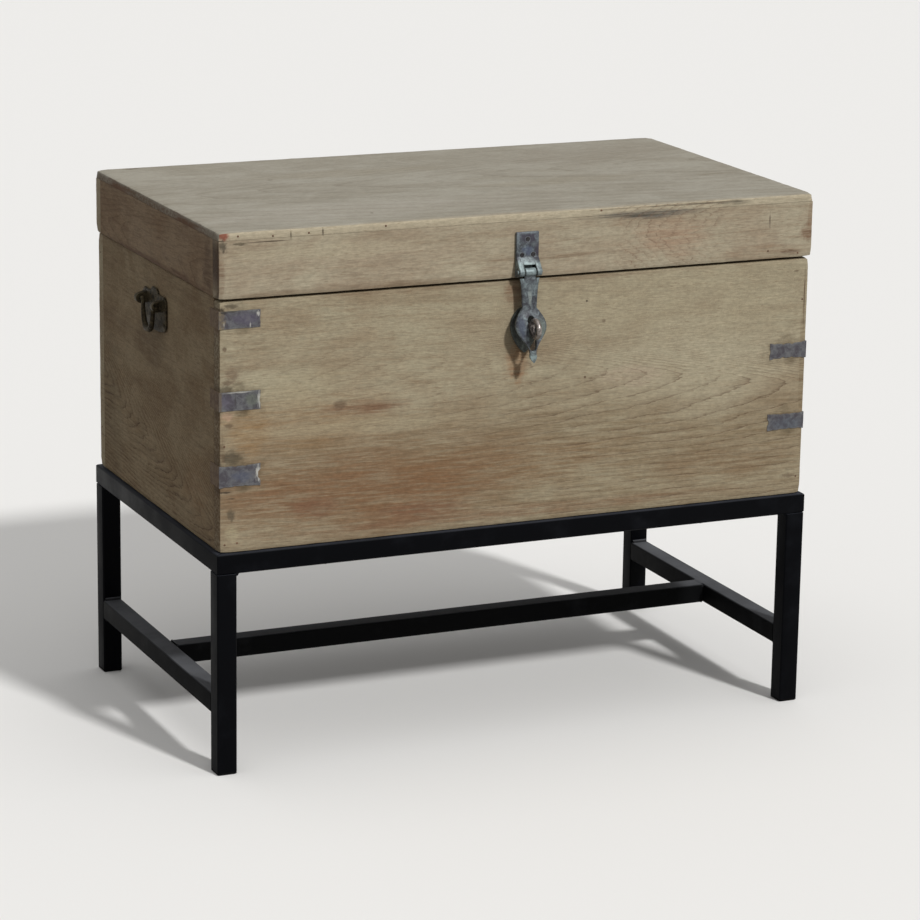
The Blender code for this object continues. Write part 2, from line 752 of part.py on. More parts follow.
def hinge_pin(name, pivot, finish):
    """A pin with a small head at each end of the barrel."""
    half = HINGE_LENGTH / 2 + GAP
    head = HINGE_PIN / 3
    profile = (
        (0.0, -half - head),
        (HINGE_PIN * NEAR_SHARE, -half - head),
        (HINGE_BARREL * NEAR_SHARE, -half),
        (HINGE_PIN / 2, -half),
        (HINGE_PIN / 2, half),
        (HINGE_BARREL * NEAR_SHARE, half),
        (HINGE_PIN * NEAR_SHARE, half + head),
        (0.0, half + head),
    )
    shape = bmesh.new()
    add_turned(shape, profile, along((0, 0, 0), (1, 0, 0)), ROUND_SIDES)
    return finish_mesh(name, shape, finish, pivot, True)


def hinge_recesses():
    """Cutters for the leaves and barrels: in the body, in the lid, and round the barrels."""
    reach = HINGE_LENGTH / 2 + GAP
    front = HINGE_Y - HINGE_LEAF - GAP
    cutters = []
    for name, low, high in (
        ("hinge_recess_body", BODY_TOP - HINGE_SHEET - GAP, BODY_TOP + OVERRUN),
        ("hinge_recess_lid", LID_Z - OVERRUN, LID_Z + HINGE_SHEET + GAP),
    ):
        shape = bmesh.new()
        for x in (-HINGE_PLACE, HINGE_PLACE):
            add_box(shape, (x - reach, front, low), (x + reach, LID_BACK + OVERRUN, high))
        cutters.append(as_cutter(name, shape))
    barrels = bmesh.new()
    reach += HINGE_PIN / 3 + GAP
    for x in (-HINGE_PLACE, HINGE_PLACE):
        ends = (x - reach, HINGE_Y, HINGE_Z), (x + reach, HINGE_Y, HINGE_Z)
        add_rod(barrels, *ends, HINGE_BARREL / 2 + 2 * GAP)
    cutters.append(as_cutter("hinge_barrel_notches", barrels))
    return cutters


def lid_hinges(body, lid, leaf_finish, pin_finish):
    """Two butt hinges let into the seam, with their screws; gives the leaves that move."""
    body_cut, lid_cut, barrel_cut = hinge_recesses()
    for target, cutter in ((body["back"], body_cut), (lid["back"], lid_cut)):
        boolean(target, cutter)
        boolean(target, barrel_cut)
    screws = Screws(SCREW_HEAD, HINGE_SCREW_RISE, SCREW_SHANK, SCREW_LENGTH)
    row = -(HINGE_LEAF + HINGE_BARREL / 2) / 2 - GAP
    shifts = [step * NEAR_SHARE * HINGE_LENGTH for step in (-1, 0, 1)]
    leaves = {"body": [], "lid": []}
    for label, x in (("left", -HINGE_PLACE), ("right", HINGE_PLACE)):
        pivot = (x, HINGE_Y, HINGE_Z)
        hinge_pin("hinge_%s_pin" % label, pivot, pin_finish)
        for name, side, boards in (("body", -1, body), ("lid", 1, lid)):
            leaf = hinge_leaf("hinge_%s_%s_leaf" % (label, name), pivot, side, leaf_finish)
            placed = [((shift, row, side * GAP / 2), (0, 0, side)) for shift in shifts]
            screws.fused(leaf, HINGE_SHEET, placed, [boards["back"]], True)
            leaves[name].append(leaf)
    return leaves["lid"]


# Hasp


def hasp_plate(lid, brass, screw_finish):
    """The plate on the lid, swelling forward into two knuckles round the pin."""
    half = HASP_PLATE_WIDTH / 2
    bottom = HASP_PLATE_BOTTOM - HASP_PIN_RISE
    top = bottom + HASP_PLATE_HEIGHT
    back = HASP_PIN_OUT - GAP
    face = back - HASP_PLATE_SHEET
    side_view = [(back, bottom), (back, top), (face, top), (face, HASP_SWELL)]
    side_view += arc((0.0, 0.0), HASP_LUG / 2, math.pi - HASP_SWELL_LEAN, math.pi * 3 / 2, 7)
    side_view.append((face, bottom))
    shape = bmesh.new()
    add_prism(shape, [(-half, y, z) for y, z in side_view], (2 * half, 0, 0))
    plate = finish_mesh("hasp_plate", shape, brass, HASP_PIVOT, True)
    soften(plate, HASP_EDGE, 2)
    slot = bmesh.new()
    reach = HASP_MIDDLE / 2 + GAP
    add_box(slot, (-reach, -HASP_LUG, bottom - OVERRUN), (reach, face, HASP_SLOT_RISE))
    boolean(plate, as_cutter("hasp_knuckle_slot", slot, HASP_PIVOT))
    ends = (-HASP_PLATE_WIDTH, 0, 0), (HASP_PLATE_WIDTH, 0, 0)
    boolean(plate, rod_cutter("hasp_plate_bore", *ends, HASP_PIN / 2 + GAP, pivot=HASP_PIVOT))
    names = ("hasp_screw_left", "hasp_screw_right", "hasp_screw_top")
    places = [(shift, face, bottom + rise) for shift, rise in zip(HASP_SCREW_SHIFTS, HASP_SCREW_RISES)]
    targets = [plate, lid["front"]]
    screws = countersunk_screws().separate(names, places, (0, 1, 0), screw_finish, targets, HASP_PIVOT)
    return [plate] + screws


def hasp_pin(finish):
    """The pin, peened over at both ends."""
    half = HASP_PLATE_WIDTH / 2 + GAP
    head = HASP_PIN / 2 + 2 * GAP
    profile = (
        (0.0, -half - HASP_PIN_PROUD),
        (HASP_PIN / 2, -half - HASP_PIN_PROUD),
        (head, -half),
        (HASP_PIN / 2, -half),
        (HASP_PIN / 2, half),
        (head, half),
        (HASP_PIN / 2, half + HASP_PIN_PROUD),
        (0.0, half + HASP_PIN_PROUD),
    )
    shape = bmesh.new()
    add_turned(shape, profile, along((0, 0, 0), (1, 0, 0)), PIN_SIDES)
    return finish_mesh("hasp_pin", shape, finish, HASP_PIVOT, True)


def arm_half_width(drop):
    """Half the arm's width at a distance below the pin."""
    if drop < LEAF_START:
        share = max(0.0, (drop - ARM_SHOULDER_DROP) / (LEAF_START - ARM_SHOULDER_DROP))
        return (ARM_SHOULDER + (ARM_NECK - ARM_SHOULDER) * math.sqrt(share)) / 2
    if drop < LEAF_WIDEST:
        share = (drop - LEAF_START) / (LEAF_WIDEST - LEAF_START)
        return (ARM_NECK + (LEAF_WIDTH - ARM_NECK) * math.sin(share * math.pi / 2)) / 2
    if drop < LEAF_END:
        share = (drop - LEAF_WIDEST) / (LEAF_END - LEAF_WIDEST)
        return (TIP_WIDTH + (LEAF_WIDTH - TIP_WIDTH) * (0.5 + 0.5 * math.cos(share * math.pi))) / 2
    share = (drop - LEAF_END) / LEAF_TIP
    bud = math.sin(math.pi * min(1.0, BUD_START_SHARE + (1.0 - BUD_START_SHARE) * share))
    return (TIP_POINT + (TIP_WIDTH * BUD_WIDTH_SHARE - TIP_POINT) * bud) / 2


def arm_centre(drop):
    """Where the middle of the arm's sheet lies, in front of the pin and below it."""
    neck = min(drop, LEAF_START)
    out = neck * math.sin(ARM_LEAN)
    down = neck * math.cos(ARM_LEAN)
    leaf = max(0.0, drop - LEAF_START)
    return out + leaf * math.sin(LEAF_LEAN), down + leaf * math.cos(LEAF_LEAN)


def arm_relief(across, drop):
    """How far the front stands above the plain sheet: the dome, its rim and the neck's ridges."""
    if drop <= LEAF_START:
        spread = RIDGE_TOP_SHARE + (RIDGE_FOOT_SHARE - RIDGE_TOP_SHARE) * drop / LEAF_START
        near = abs(abs(across) - spread)
        return ARM_RIDGE * max(0.0, 1.0 - near / RIDGE_WIDTH_SHARE)
    length = LEAF_END + LEAF_TIP - LEAF_START
    share = (drop - LEAF_START) / length
    swell = math.sin(math.pi * min(1.0, share / DOME_END_SHARE)) ** DOME_FULLNESS
    dome = LEAF_DOME * swell * (1.0 - across * across)
    rim = LEAF_RIM if abs(across) > RIM_SHARE else 0.0
    return dome + rim * swell


def arm_section(drop, across_shares):
    """One closed section of the arm: the front from left to right, then the back."""
    lean = ARM_LEAN if drop < LEAF_START else LEAF_LEAN
    out, down = arm_centre(drop)
    normal = Vector((0.0, -math.cos(lean), -math.sin(lean)))
    middle = Vector((0.0, -out, -down))
    half = arm_half_width(drop)
    front = []
    back = []
    for share in across_shares:
        point = middle + Vector((share * half, 0.0, 0.0))
        relief = arm_relief(share, drop)
        edge = ARM_SHEET / 4 if abs(share) == 1 else ARM_SHEET / 2
        front.append(point + normal * (edge + relief))
        back.append(point - normal * (edge - max(0.0, relief - LEAF_RIM) / 2))
    return front + list(reversed(back))


def hasp_arm(finish):
    """The swinging arm: middle knuckle, ridged neck, domed leaf with a slot, and pointed tip."""
    across_shares = (-1.0, -0.9, -0.78, -0.5, -0.25, 0.0, 0.25, 0.5, 0.78, 0.9, 1.0)
    drops = [ARM_SHOULDER_DROP + (LEAF_START - ARM_SHOULDER_DROP) * i / 4 for i in range(4)]
    drops += [LEAF_START + (LEAF_WIDEST - LEAF_START) * i / 5 for i in range(5)]
    drops += [LEAF_WIDEST + (LEAF_END - LEAF_WIDEST) * i / 7 for i in range(7)]
    drops += [LEAF_END + LEAF_TIP * i / 4 for i in range(5)]
    shape = bmesh.new()
    add_loft(shape, [arm_section(drop, across_shares) for drop in drops])
    arm = finish_mesh("hasp_arm", shape, finish, HASP_PIVOT, True)
    reach = HASP_MIDDLE / 2
    knuckle = bmesh.new()
    add_rod(knuckle, (-reach, 0, 0), (reach, 0, 0), HASP_KNUCKLE / 2)
    boolean(arm, as_cutter("hasp_arm_knuckle", knuckle, HASP_PIVOT), "UNION")
    web = bmesh.new()
    web_top = -HASP_PIN / 2 - 2 * GAP
    web_low = -ARM_SHOULDER_DROP - ARM_SHEET
    add_box(web, (-reach, -ARM_SHEET / 2, web_low), (reach, ARM_SHEET / 2, web_top))
    boolean(arm, as_cutter("hasp_arm_web", web, HASP_PIVOT), "UNION")
    bore = rod_cutter(
        "hasp_arm_bore", (-HASP_MIDDLE, 0, 0), (HASP_MIDDLE, 0, 0), HASP_PIN / 2 + GAP, pivot=HASP_PIVOT
    )
    boolean(arm, bore)
    half = SLOT_WIDTH / 2
    top = (0.0, -SLOT_TOP - half)
    foot = (0.0, -SLOT_BOTTOM + half)
    outline = arc(top, half, 0.0, math.pi, 6) + arc(foot, half, math.pi, math.tau, 6)
    slot = bmesh.new()
    add_prism(slot, [(x, -LEAF_WIDTH, z) for x, z in outline], (0, LEAF_WIDTH + HASP_PIN_OUT, 0))
    boolean(arm, as_cutter("hasp_arm_slot", slot, HASP_PIVOT))
    return arm


# Staple


def staple_outline():
    """A leaf with a rounded top and a pointed foot, as (across, up) from the eye."""
    top = STAPLE_HEIGHT * STAPLE_ABOVE_SHARE
    half = []
    steps = 12
    for i in range(steps + 1):
        share = i / steps
        fullness = max(0.0, math.sin(math.pi * share**STAPLE_SKEW)) ** STAPLE_FULLNESS
        width = STAPLE_WIDTH / 2 * fullness if 0 < i < steps else 0.0
        half.append((width, top - STAPLE_HEIGHT * share))
    return half + [(-x, z) for x, z in reversed(half[1:-1])]


def staple_plate(boards, brass, screw_finish):
    """The leaf-shaped plate behind the hasp, with a boss round the eye's shank."""
    origin = (0.0, FRONT_Y, EYE_Z)
    face = -GAP - STAPLE_SHEET
    shape = bmesh.new()
    add_prism(shape, [(x, -GAP, z) for x, z in staple_outline()], (0, -STAPLE_SHEET, 0))
    plate = finish_mesh("staple_plate", shape, brass, origin, True)
    soften(plate, HASP_EDGE)
    boss = bmesh.new()
    radius = STAPLE_BOSS / 2
    profile = (
        (0.0, -STAPLE_SHEET / 2),
        (radius, -STAPLE_SHEET / 2),
        (radius, 0.0),
        (radius * BOSS_TOP_SHARE, STAPLE_BOSS_RISE),
        (0.0, STAPLE_BOSS_RISE),
    )
    add_turned(boss, profile, along((0.0, face, 0.0), (0, -1, 0)), ROUND_SIDES)
    boolean(plate, as_cutter("staple_boss", boss, origin), "UNION")
    reach = BOARD + OVERRUN
    bore = rod_cutter("staple_bore", (0, reach, 0), (0, -reach, 0), EYE_WIRE / 2 + GAP, pivot=origin)
    boolean(plate, bore)
    boolean(boards["front"], bore)
    top = STAPLE_HEIGHT * STAPLE_ABOVE_SHARE
    names = ("staple_screw_upper", "staple_screw_lower")
    places = [(0.0, face, top - share * STAPLE_HEIGHT) for share in STAPLE_SCREW_SHARES]
    targets = [plate, boards["front"]]
    countersunk_screws().separate(names, places, (0, 1, 0), screw_finish, targets, origin)


def staple_eye(finish):
    """A ring of round wire on a shank that runs through the board and is riveted inside."""
    ring_radius = (EYE_DIAMETER - EYE_WIRE) / 2
    wire = EYE_WIRE / 2
    shape = bmesh.new()
    section = arc((ring_radius, 0.0), wire, 0.0, math.tau, WIRE_SIDES)[:-1]
    verts = [shape.verts.new((b, a, 0.0)) for a, b in section]
    edges = [shape.edges.new((verts[i], verts[(i + 1) % WIRE_SIDES])) for i in range(WIRE_SIDES)]
    bmesh.ops.spin(
        shape,
        geom=verts + edges,
        cent=(0, 0, 0),
        axis=(1, 0, 0),
        angle=math.tau,
        steps=EYE_SIDES,
        use_merge=True,
    )
    bmesh.ops.remove_doubles(shape, verts=shape.verts, dist=MERGE)
    bmesh.ops.translate(shape, verts=shape.verts, vec=(0.0, EYE_Y, EYE_Z))
    eye = finish_mesh("staple_eye", shape, finish, smooth=True)
    inside = FRONT_Y + BOARD
    head_start = inside + ROVE_SHEET + 2 * GAP
    length = head_start - (EYE_Y + ring_radius - wire / 2)
    profile = (
        (0.0, 0.0),
        (wire, 0.0),
        (wire, length),
        (RIVET_HEAD / 2, length),
        (RIVET_HEAD / 3, length + RIVET_RISE),
        (0.0, length + RIVET_RISE),
    )
    shank = bmesh.new()
    add_turned(shank, profile, along((0.0, head_start - length, EYE_Z), (0, 1, 0)), ROUND_SIDES)
    boolean(eye, as_cutter("staple_shank", shank), "UNION")
    return eye


def staple_rove(finish):
    """The square washer under the riveted end, inside the trunk."""
    near = FRONT_Y + BOARD + GAP
    half = ROVE / 2
    low = (-half, near, EYE_Z - half)
    high = (half, near + ROVE_SHEET, EYE_Z + half)
    rove = box_object("staple_rove", low, high, finish)
    ends = (0.0, near - ROVE, EYE_Z), (0.0, near + ROVE, EYE_Z)
    boolean(rove, rod_cutter("rove_bore", *ends, EYE_WIRE / 2 + GAP))
    return rove


# Carrying handles


def handle_outline():
    """The plate's outline as (along Y, up): hollowed corners and a waist below the middle."""
    half = HANDLE_WIDTH / 2
    tall = HANDLE_HEIGHT / 2
    corner = HANDLE_CORNER / 2
    right = [(half - corner, -tall + HANDLE_WAIST)]
    right += [(half, -tall + HANDLE_WAIST + corner)]
    right += [(half, tall - HANDLE_CORNER)]
    right += [(half - corner, tall - corner)]
    right += arc((half - HANDLE_CORNER, tall + corner), HANDLE_CORNER, -math.pi / 3, -math.pi / 2, 3)[1:]
    right += [(LUG_SPREAD / 4, tall - corner)]
    right += [(LUG_SPREAD / 8, tall)]
    bottom = [(-LUG_SPREAD / 4, -tall), (LUG_SPREAD / 4, -tall)]
    return bottom + right + [(-y, z) for y, z in reversed(right)]


def handle_plate(label, side, boards, metal):
    """A back plate with two lugs, on the left end for side -1 and on the right end for side 1."""
    face = side * END_X
    back = face + side * GAP
    front = back + side * HANDLE_SHEET
    pivot = front + side * LUG_OUT
    shape = bmesh.new()
    outline = [(back, CENTRE_Y + y, HANDLE_Z + z) for y, z in handle_outline()]
    add_prism(shape, outline, (side * HANDLE_SHEET, 0, 0))
    plate = finish_mesh("handle_%s_plate" % label, shape, metal)
    soften(plate, HANDLE_EDGE)
    lugs = bmesh.new()
    radius = LUG_DIAMETER / 2
    foot = front - side * HANDLE_SHEET / 2
    for y in (-LUG_SPREAD / 2, LUG_SPREAD / 2):
        nose = arc((0.0, 0.0), radius, -math.pi / 2, math.pi / 2, 8)
        outline = [(foot, LUG_Z - radius)] + [(pivot + side * a, LUG_Z + b) for a, b in nose]
        outline.append((foot, LUG_Z + radius * LUG_FOOT_SHARE))
        add_prism(lugs, [(a, CENTRE_Y + y - LUG_WIDTH / 2, b) for a, b in outline], (0, LUG_WIDTH, 0))
    boolean(plate, as_cutter("handle_%s_lugs" % label, lugs), "UNION")
    reach = LUG_SPREAD
    bore = rod_cutter(
        "handle_%s_bore" % label,
        (pivot, CENTRE_Y - reach, LUG_Z),
        (pivot, CENTRE_Y + reach, LUG_Z),
        BAIL_END / 2 + GAP,
        12,
    )
    boolean(plate, bore)
    screws = Screws(SCREW_HEAD, HANDLE_SCREW_RISE, SCREW_SHANK, SCREW_LENGTH)
    placed = []
    for across in (-HANDLE_SCREW_SHARE, HANDLE_SCREW_SHARE):
        for rise in HANDLE_SCREW_RISE_SHARES:
            point = (front, CENTRE_Y + across * HANDLE_WIDTH, HANDLE_Z + rise * HANDLE_HEIGHT)
            placed.append((point, (-side, 0, 0)))
    screws.fused(plate, HANDLE_SHEET, placed, [boards[label]], True)


def bail_route():
    """Half of the bail's centre line with its radius, as (along Y, up, radius), from the lug down."""
    end = LUG_SPREAD / 2 + LUG_WIDTH / 2
    inner = LUG_SPREAD / 2 - LUG_WIDTH / 2 - GAP
    side = inner - BAIL_NECK
    drop = BAIL_DROP
    thin = BAIL_END / 2
    points = [(end, 0.0, thin), (inner - thin / 2, 0.0, thin)]
    neck = thin * BAIL_BEND_SHARE
    bend = arc((side + thin, -thin), BAIL_NECK - thin, BAIL_BEND_START, math.pi, 4)
    points += [(y, z, neck) for y, z in bend]
    sweep = side + thin - (BAIL_NECK - thin)
    for i in range(1, BAIL_STEPS + 1):
        share = i / BAIL_STEPS
        turn = math.pi / 2 * share
        y = sweep * max(0.0, math.cos(turn)) ** BAIL_SIDE_FULLNESS
        z = -thin - (drop - thin) * math.sin(turn) ** BAIL_FOOT_FULLNESS
        points.append((y, z, neck + (BAIL_BAR / 2 - neck) * share))
    return points


def bail(label, side, metal):
    """The swinging grip: a tapered bar whose ends turn in the lugs."""
    front = side * (END_X + GAP + HANDLE_SHEET)
    pivot = front + side * LUG_OUT
    half = bail_route()
    route = half + [(-y, z, r) for y, z, r in reversed(half[:-1])]
    line = bpy.data.curves.new("handle_%s_bail" % label, "CURVE")
    line.dimensions = "3D"
    line.bevel_depth = 1.0
    line.bevel_resolution = 2
    line.use_fill_caps = True
    line.resolution_u = 1
    line.render_resolution_u = 0
    path = line.splines.new("POLY")
    path.points.add(len(route) - 1)
    for point, (y, z, radius) in zip(path.points, route):
        point.co = (0.0, y, z, 1.0)
        point.radius = radius
    grip = bpy.data.objects.new("handle_%s_bail" % label, line)
    grip.location = (pivot, CENTRE_Y, LUG_Z)
    bpy.context.scene.collection.objects.link(grip)
    line.materials.append(metal)
    return grip


def hang_on_hinges(pieces):
    """Hold the lid's pieces by an empty on the hinges' axis, so that they turn about it."""
    axis = bpy.data.objects.new("lid_axis", None)
    axis.location = (0.0, HINGE_Y, HINGE_Z)
    bpy.context.scene.collection.objects.link(axis)
    for piece in pieces:
        piece.parent = axis
        piece.matrix_parent_inverse = Matrix.Translation(-axis.location)


def main():
    for thing in list(bpy.data.objects):
        bpy.data.objects.remove(thing)
    wood = material("weathered_teak", (0.42, 0.34, 0.24), 0.75, 0.0)
    strap_sheet = material("zinc_sheet", (0.17, 0.17, 0.20), 0.55, 0.7)
    brass = material("aged_brass", (0.20, 0.23, 0.23), 0.5, 0.8)
    bronze = material("dark_bronze", (0.06, 0.055, 0.05), 0.45, 0.8)
    steel = material("black_steel", (0.012, 0.013, 0.016), 0.4, 0.2)
    plastic = material("black_plastic", (0.01, 0.01, 0.01), 0.6, 0.0)
    iron = material("old_iron", (0.12, 0.10, 0.09), 0.6, 0.8)

    rails = frame_rails(steel)
    legs_and_feet(steel, plastic)
    stretchers(steel)
    body = body_boards(wood)
    lid = lid_boards(wood)
    stand_screws([rails[0], rails[2]], [body["front"], body["back"]], iron)
    corner_straps(body, strap_sheet)
    moving = list(lid.values()) + lid_hinges(body, lid, brass, iron)
    moving += hasp_plate(lid, brass, iron)
    moving += [hasp_pin(brass), hasp_arm(brass)]
    hang_on_hinges(moving)
    staple_plate(body, brass, iron)
    staple_eye(bronze)
    staple_rove(iron)
    for label, side in (("left", -1), ("right", 1)):
        handle_plate(label, side, body, bronze)
        bail(label, side, bronze)


main()
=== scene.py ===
"""The looks of an old teak trunk on a steel stand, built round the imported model.

Metres, +Z up, +X along the front, -Y towards the viewer. Every piece is modelled in its place, and
its object stays at the origin.
"""
import itertools
import json
import logging
import math
from dataclasses import dataclass, field
from enum import Enum
from typing import Callable, Iterable, Sequence

import bpy
from bpy.types import Material, NodeSocket, Object
from mathutils import Matrix, Vector

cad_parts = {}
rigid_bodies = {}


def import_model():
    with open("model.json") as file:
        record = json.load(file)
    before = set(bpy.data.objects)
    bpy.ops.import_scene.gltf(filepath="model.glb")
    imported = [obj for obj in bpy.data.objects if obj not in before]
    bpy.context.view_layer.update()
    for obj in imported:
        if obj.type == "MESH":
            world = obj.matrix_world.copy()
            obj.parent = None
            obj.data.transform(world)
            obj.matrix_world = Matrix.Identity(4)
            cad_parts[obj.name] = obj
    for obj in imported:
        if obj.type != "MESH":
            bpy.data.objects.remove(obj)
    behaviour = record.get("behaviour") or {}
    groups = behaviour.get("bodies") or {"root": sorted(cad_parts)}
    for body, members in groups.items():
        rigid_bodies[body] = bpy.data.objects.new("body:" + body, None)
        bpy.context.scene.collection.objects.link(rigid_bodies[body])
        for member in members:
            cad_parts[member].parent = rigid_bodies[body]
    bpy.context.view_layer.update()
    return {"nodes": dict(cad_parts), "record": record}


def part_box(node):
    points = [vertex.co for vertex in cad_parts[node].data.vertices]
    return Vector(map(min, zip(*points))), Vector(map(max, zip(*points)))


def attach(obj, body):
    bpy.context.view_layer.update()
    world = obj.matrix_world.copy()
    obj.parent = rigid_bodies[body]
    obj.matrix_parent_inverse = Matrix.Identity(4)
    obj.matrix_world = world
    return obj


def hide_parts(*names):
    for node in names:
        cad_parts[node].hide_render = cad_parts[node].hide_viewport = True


for leftover in list(bpy.data.objects):
    bpy.data.objects.remove(leftover)
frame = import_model()

LOG = logging.getLogger("trunk")
EDGE_MARK = "edge"  # the attribute that tells how far a metal surface stands out
CORNER = 0.393  # from the trunk's middle to its ends
BODY_FACE = -0.20375  # the front board's face
SCREW_SOFT = 0.0002  # the width of the screws' softened edges
TINY = 0.0001  # less than any step in the shapes
MOSTLY = 0.9  # the share from which something lies along an axis
# The sides of a board, as (axis, direction).
LEFT, RIGHT, FRONT, BACK, DOWN, UP = ((axis, way) for axis in range(3) for way in (-1, 1))

Screen = tuple[int, int, int]
Light = tuple[float, float, float]
Levels = tuple[tuple[int, float], tuple[int, float]]
Spots = tuple[tuple[float, float], ...]


class Part(Enum):
    """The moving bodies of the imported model."""

    TRUNK = "trunk"
    LID = "lid"
    HASP = "hasp"
    LEFT_HANDLE = "left_handle"
    RIGHT_HANDLE = "right_handle"


def screen_colour(red: int, green: int, blue: int) -> Light:
    """Turn a colour as seen on a screen, 0 to 255, into linear light by the sRGB curve."""
    shown = (value / 255 for value in (red, green, blue))
    return tuple(v / 12.92 if v <= 0.04045 else ((v + 0.055) / 1.055) ** 2.4 for v in shown)


class Recipe:
    """A procedural material, put together node by node on Object coordinates.

    Attributes:
        FULL_WITHIN: The share of a stain's reach within which it covers fully.
        RIM_CLOUDS: How fine the clouds are that make a stain's rim ragged.
    """

    FULL_WITHIN = 0.35
    RIM_CLOUDS = 1.6

    def __init__(self, name: str) -> None:
        """Start a material with a Principled shader.

        Args:
            name: The material's name.
        """
        self.material: Material = bpy.data.materials.new(name)
        self.material.use_nodes = True
        self.tree = self.material.node_tree
        self.shader = self.tree.nodes["Principled BSDF"]
        self.place = self.tree.nodes.new("ShaderNodeTexCoord").outputs["Object"]

    def add(self, kind: str, values: dict, **settings: object) -> bpy.types.Node:
        """Add a node.

        Args:
            kind: The node's type without its prefix.
            values: A number, colour or socket for each input, by name or number.
            settings: Settings of the node itself.

        Returns:
            The new node.
        """
        node = self.tree.nodes.new("ShaderNode" + kind)
        for key, value in settings.items():
            setattr(node, key, value)
        for key, value in values.items():
            if isinstance(value, NodeSocket):
                self.tree.links.new(value, node.inputs[key])
            else:
                node.inputs[key].default_value = value
        return node

    def mapped(self, scale: Sequence[float], shift: Sequence[float] = (0, 0, 0),
               turn: Sequence[float] = (0, 0, 0)) -> NodeSocket:
        """Stretch the coordinates, turn them by radians, and shift them in the scaled size."""
        values = {"Vector": self.place, "Scale": scale, "Location": shift, "Rotation": turn}
        return self.add("Mapping", values).outputs[0]

    def noise(self, vector: NodeSocket, scale: float, detail: float = 4.0, rough: float = 0.55,
              distortion: float = 0.0) -> NodeSocket:
        """Cloudy noise between 0 and 1: scale is in clouds to the metre, detail in finer octaves."""
        values = {"Vector": vector, "Scale": scale, "Detail": detail, "Roughness": rough}
        return self.add("TexNoise", {**values, "Distortion": distortion}).outputs["Fac"]

    def sums(self, operation: str, *values: object) -> NodeSocket:
        """Work out one value from others with a Math node."""
        return self.add("Math", dict(enumerate(values)), operation=operation).outputs[0]

    def band(self, value: NodeSocket, low: float, high: float, start: float = 0.0,
             end: float = 1.0) -> NodeSocket:
        """Step smoothly from start, where the value is below low, to end, where it is above high."""
        values = {"Value": value, "From Min": low, "From Max": high, "To Min": start, "To Max": end}
        return self.add("MapRange", values, interpolation_type="SMOOTHSTEP").outputs[0]

    def blend(self, share: object, first: object, second: object, way: str = "MIX") -> NodeSocket:
        """Mix two colours, given as light or as sockets, by the share of the second one."""
        one, two = ((*c, 1.0) if isinstance(c, tuple) else c for c in (first, second))
        return self.add("Mix", {0: share, 6: one, 7: two}, data_type="RGBA", blend_type=way).outputs[2]

    def spot(self, centre: Sequence[float], radii: Sequence[float], ragged: float = 0.5) -> NodeSocket:
        """A soft patch with a ragged rim.

        Args:
            centre: The middle of the patch.
            radii: Its reach along each axis.
            ragged: How uneven the rim is.

        Returns:
            1 in the middle, falling to 0 at the rim.
        """
        scale = [1 / r for r in radii]
        shift = [-c / r for c, r in zip(centre, radii)]
        near = self.mapped(scale, shift)
        far = self.add("VectorMath", {0: near}, operation="LENGTH").outputs["Value"]
        if ragged:
            cloud = self.noise(near, self.RIM_CLOUDS, detail=3.0)
            bend = self.sums("MULTIPLY_ADD", cloud, 2 * ragged, -ragged)
            far = self.sums("ADD", far, bend)
        return self.band(far, self.FULL_WITHIN, 1.0, 1.0, 0.0)

    def stained(self, tone: NodeSocket, stains: Iterable["Stain"], streaks: NodeSocket) -> NodeSocket:
        """Lay stains over a colour.

        Args:
            tone: The colour so far.
            stains: The patches; later ones cover earlier ones.
            streaks: Noise that the streaky ones follow.

        Returns:
            The stained colour.
        """
        for stain in stains:
            mask = self.spot(stain.centre, stain.radii, stain.ragged)
            if stain.streaky:
                mask = self.sums("MULTIPLY", mask, self.band(streaks, 0.36, 0.62, 0.4, 1.0))
            share = self.sums("MULTIPLY", mask, stain.strength)
            tone = self.blend(share, tone, screen_colour(*stain.tone))
        return tone

    def finish(self, colour: NodeSocket, rough: object, height: NodeSocket | None = None,
               depth: float = 0.0003, **constants: float) -> Material:
        """Wire the shader.

        Args:
            colour: The base colour.
            rough: The roughness, as a number or a socket.
            height: The relief between 0 and 1.
            depth: The relief's depth in metres.
            constants: Other shader inputs by name, with _ for a space.

        Returns:
            The finished material.
        """
        self.tree.links.new(colour, self.shader.inputs["Base Color"])
        if isinstance(rough, NodeSocket):
            self.tree.links.new(rough, self.shader.inputs["Roughness"])
        else:
            self.shader.inputs["Roughness"].default_value = rough
        for name, value in constants.items():
            self.shader.inputs[name.replace("_", " ")].default_value = value
        if height is not None:
            bump = self.add("Bump", {"Height": height, "Distance": depth, "Strength": 1.0})
            self.tree.links.new(bump.outputs[0], self.shader.inputs["Normal"])
        return self.material


@dataclass(frozen=True)
class Stain:
    """A patch of another tone.

    Attributes:
        centre: Its middle.
        radii: Its reach along each axis.
        tone: Its colour as seen on a screen.
        strength: How much it covers, 0 to 1.
        ragged: How uneven its rim is.
        streaky: Whether it follows the grain instead of lying flat.
    """

    centre: tuple[float, float, float]
    radii: tuple[float, float, float]
    tone: Screen
    strength: float = 0.6
    ragged: float = 0.5
    streaky: bool = True


class Side(Enum):
    """A side of the trunk: the axis across it, its level there, and how deep its stains reach."""

    FRONT = (1, -0.2, 0.1)
    TOP = (2, 0.66, 0.1)
    LEFT = (0, -0.4, 0.1)

    def stains(self, *rows: tuple) -> tuple[Stain, ...]:
        """Lay stains on this side; later ones cover earlier ones.

        Args:
            rows: For each stain its place along the side's two axes, its reach along both, its
                tone, and the rest of Stain's values as far as they aren't the usual ones.

        Returns:
            The stains in the rows' order.
        """
        axis, level, depth = self.value

        def put(first: float, second: float, across: float) -> tuple[float, ...]:
            """Put the value across the side in between the two along it."""
            values = (first, second)
            return (*values[:axis], across, *values[axis:])

        return tuple(
            Stain(put(first, second, level), put(wide, high, depth), *rest)
            for first, second, wide, high, *rest in rows
        )


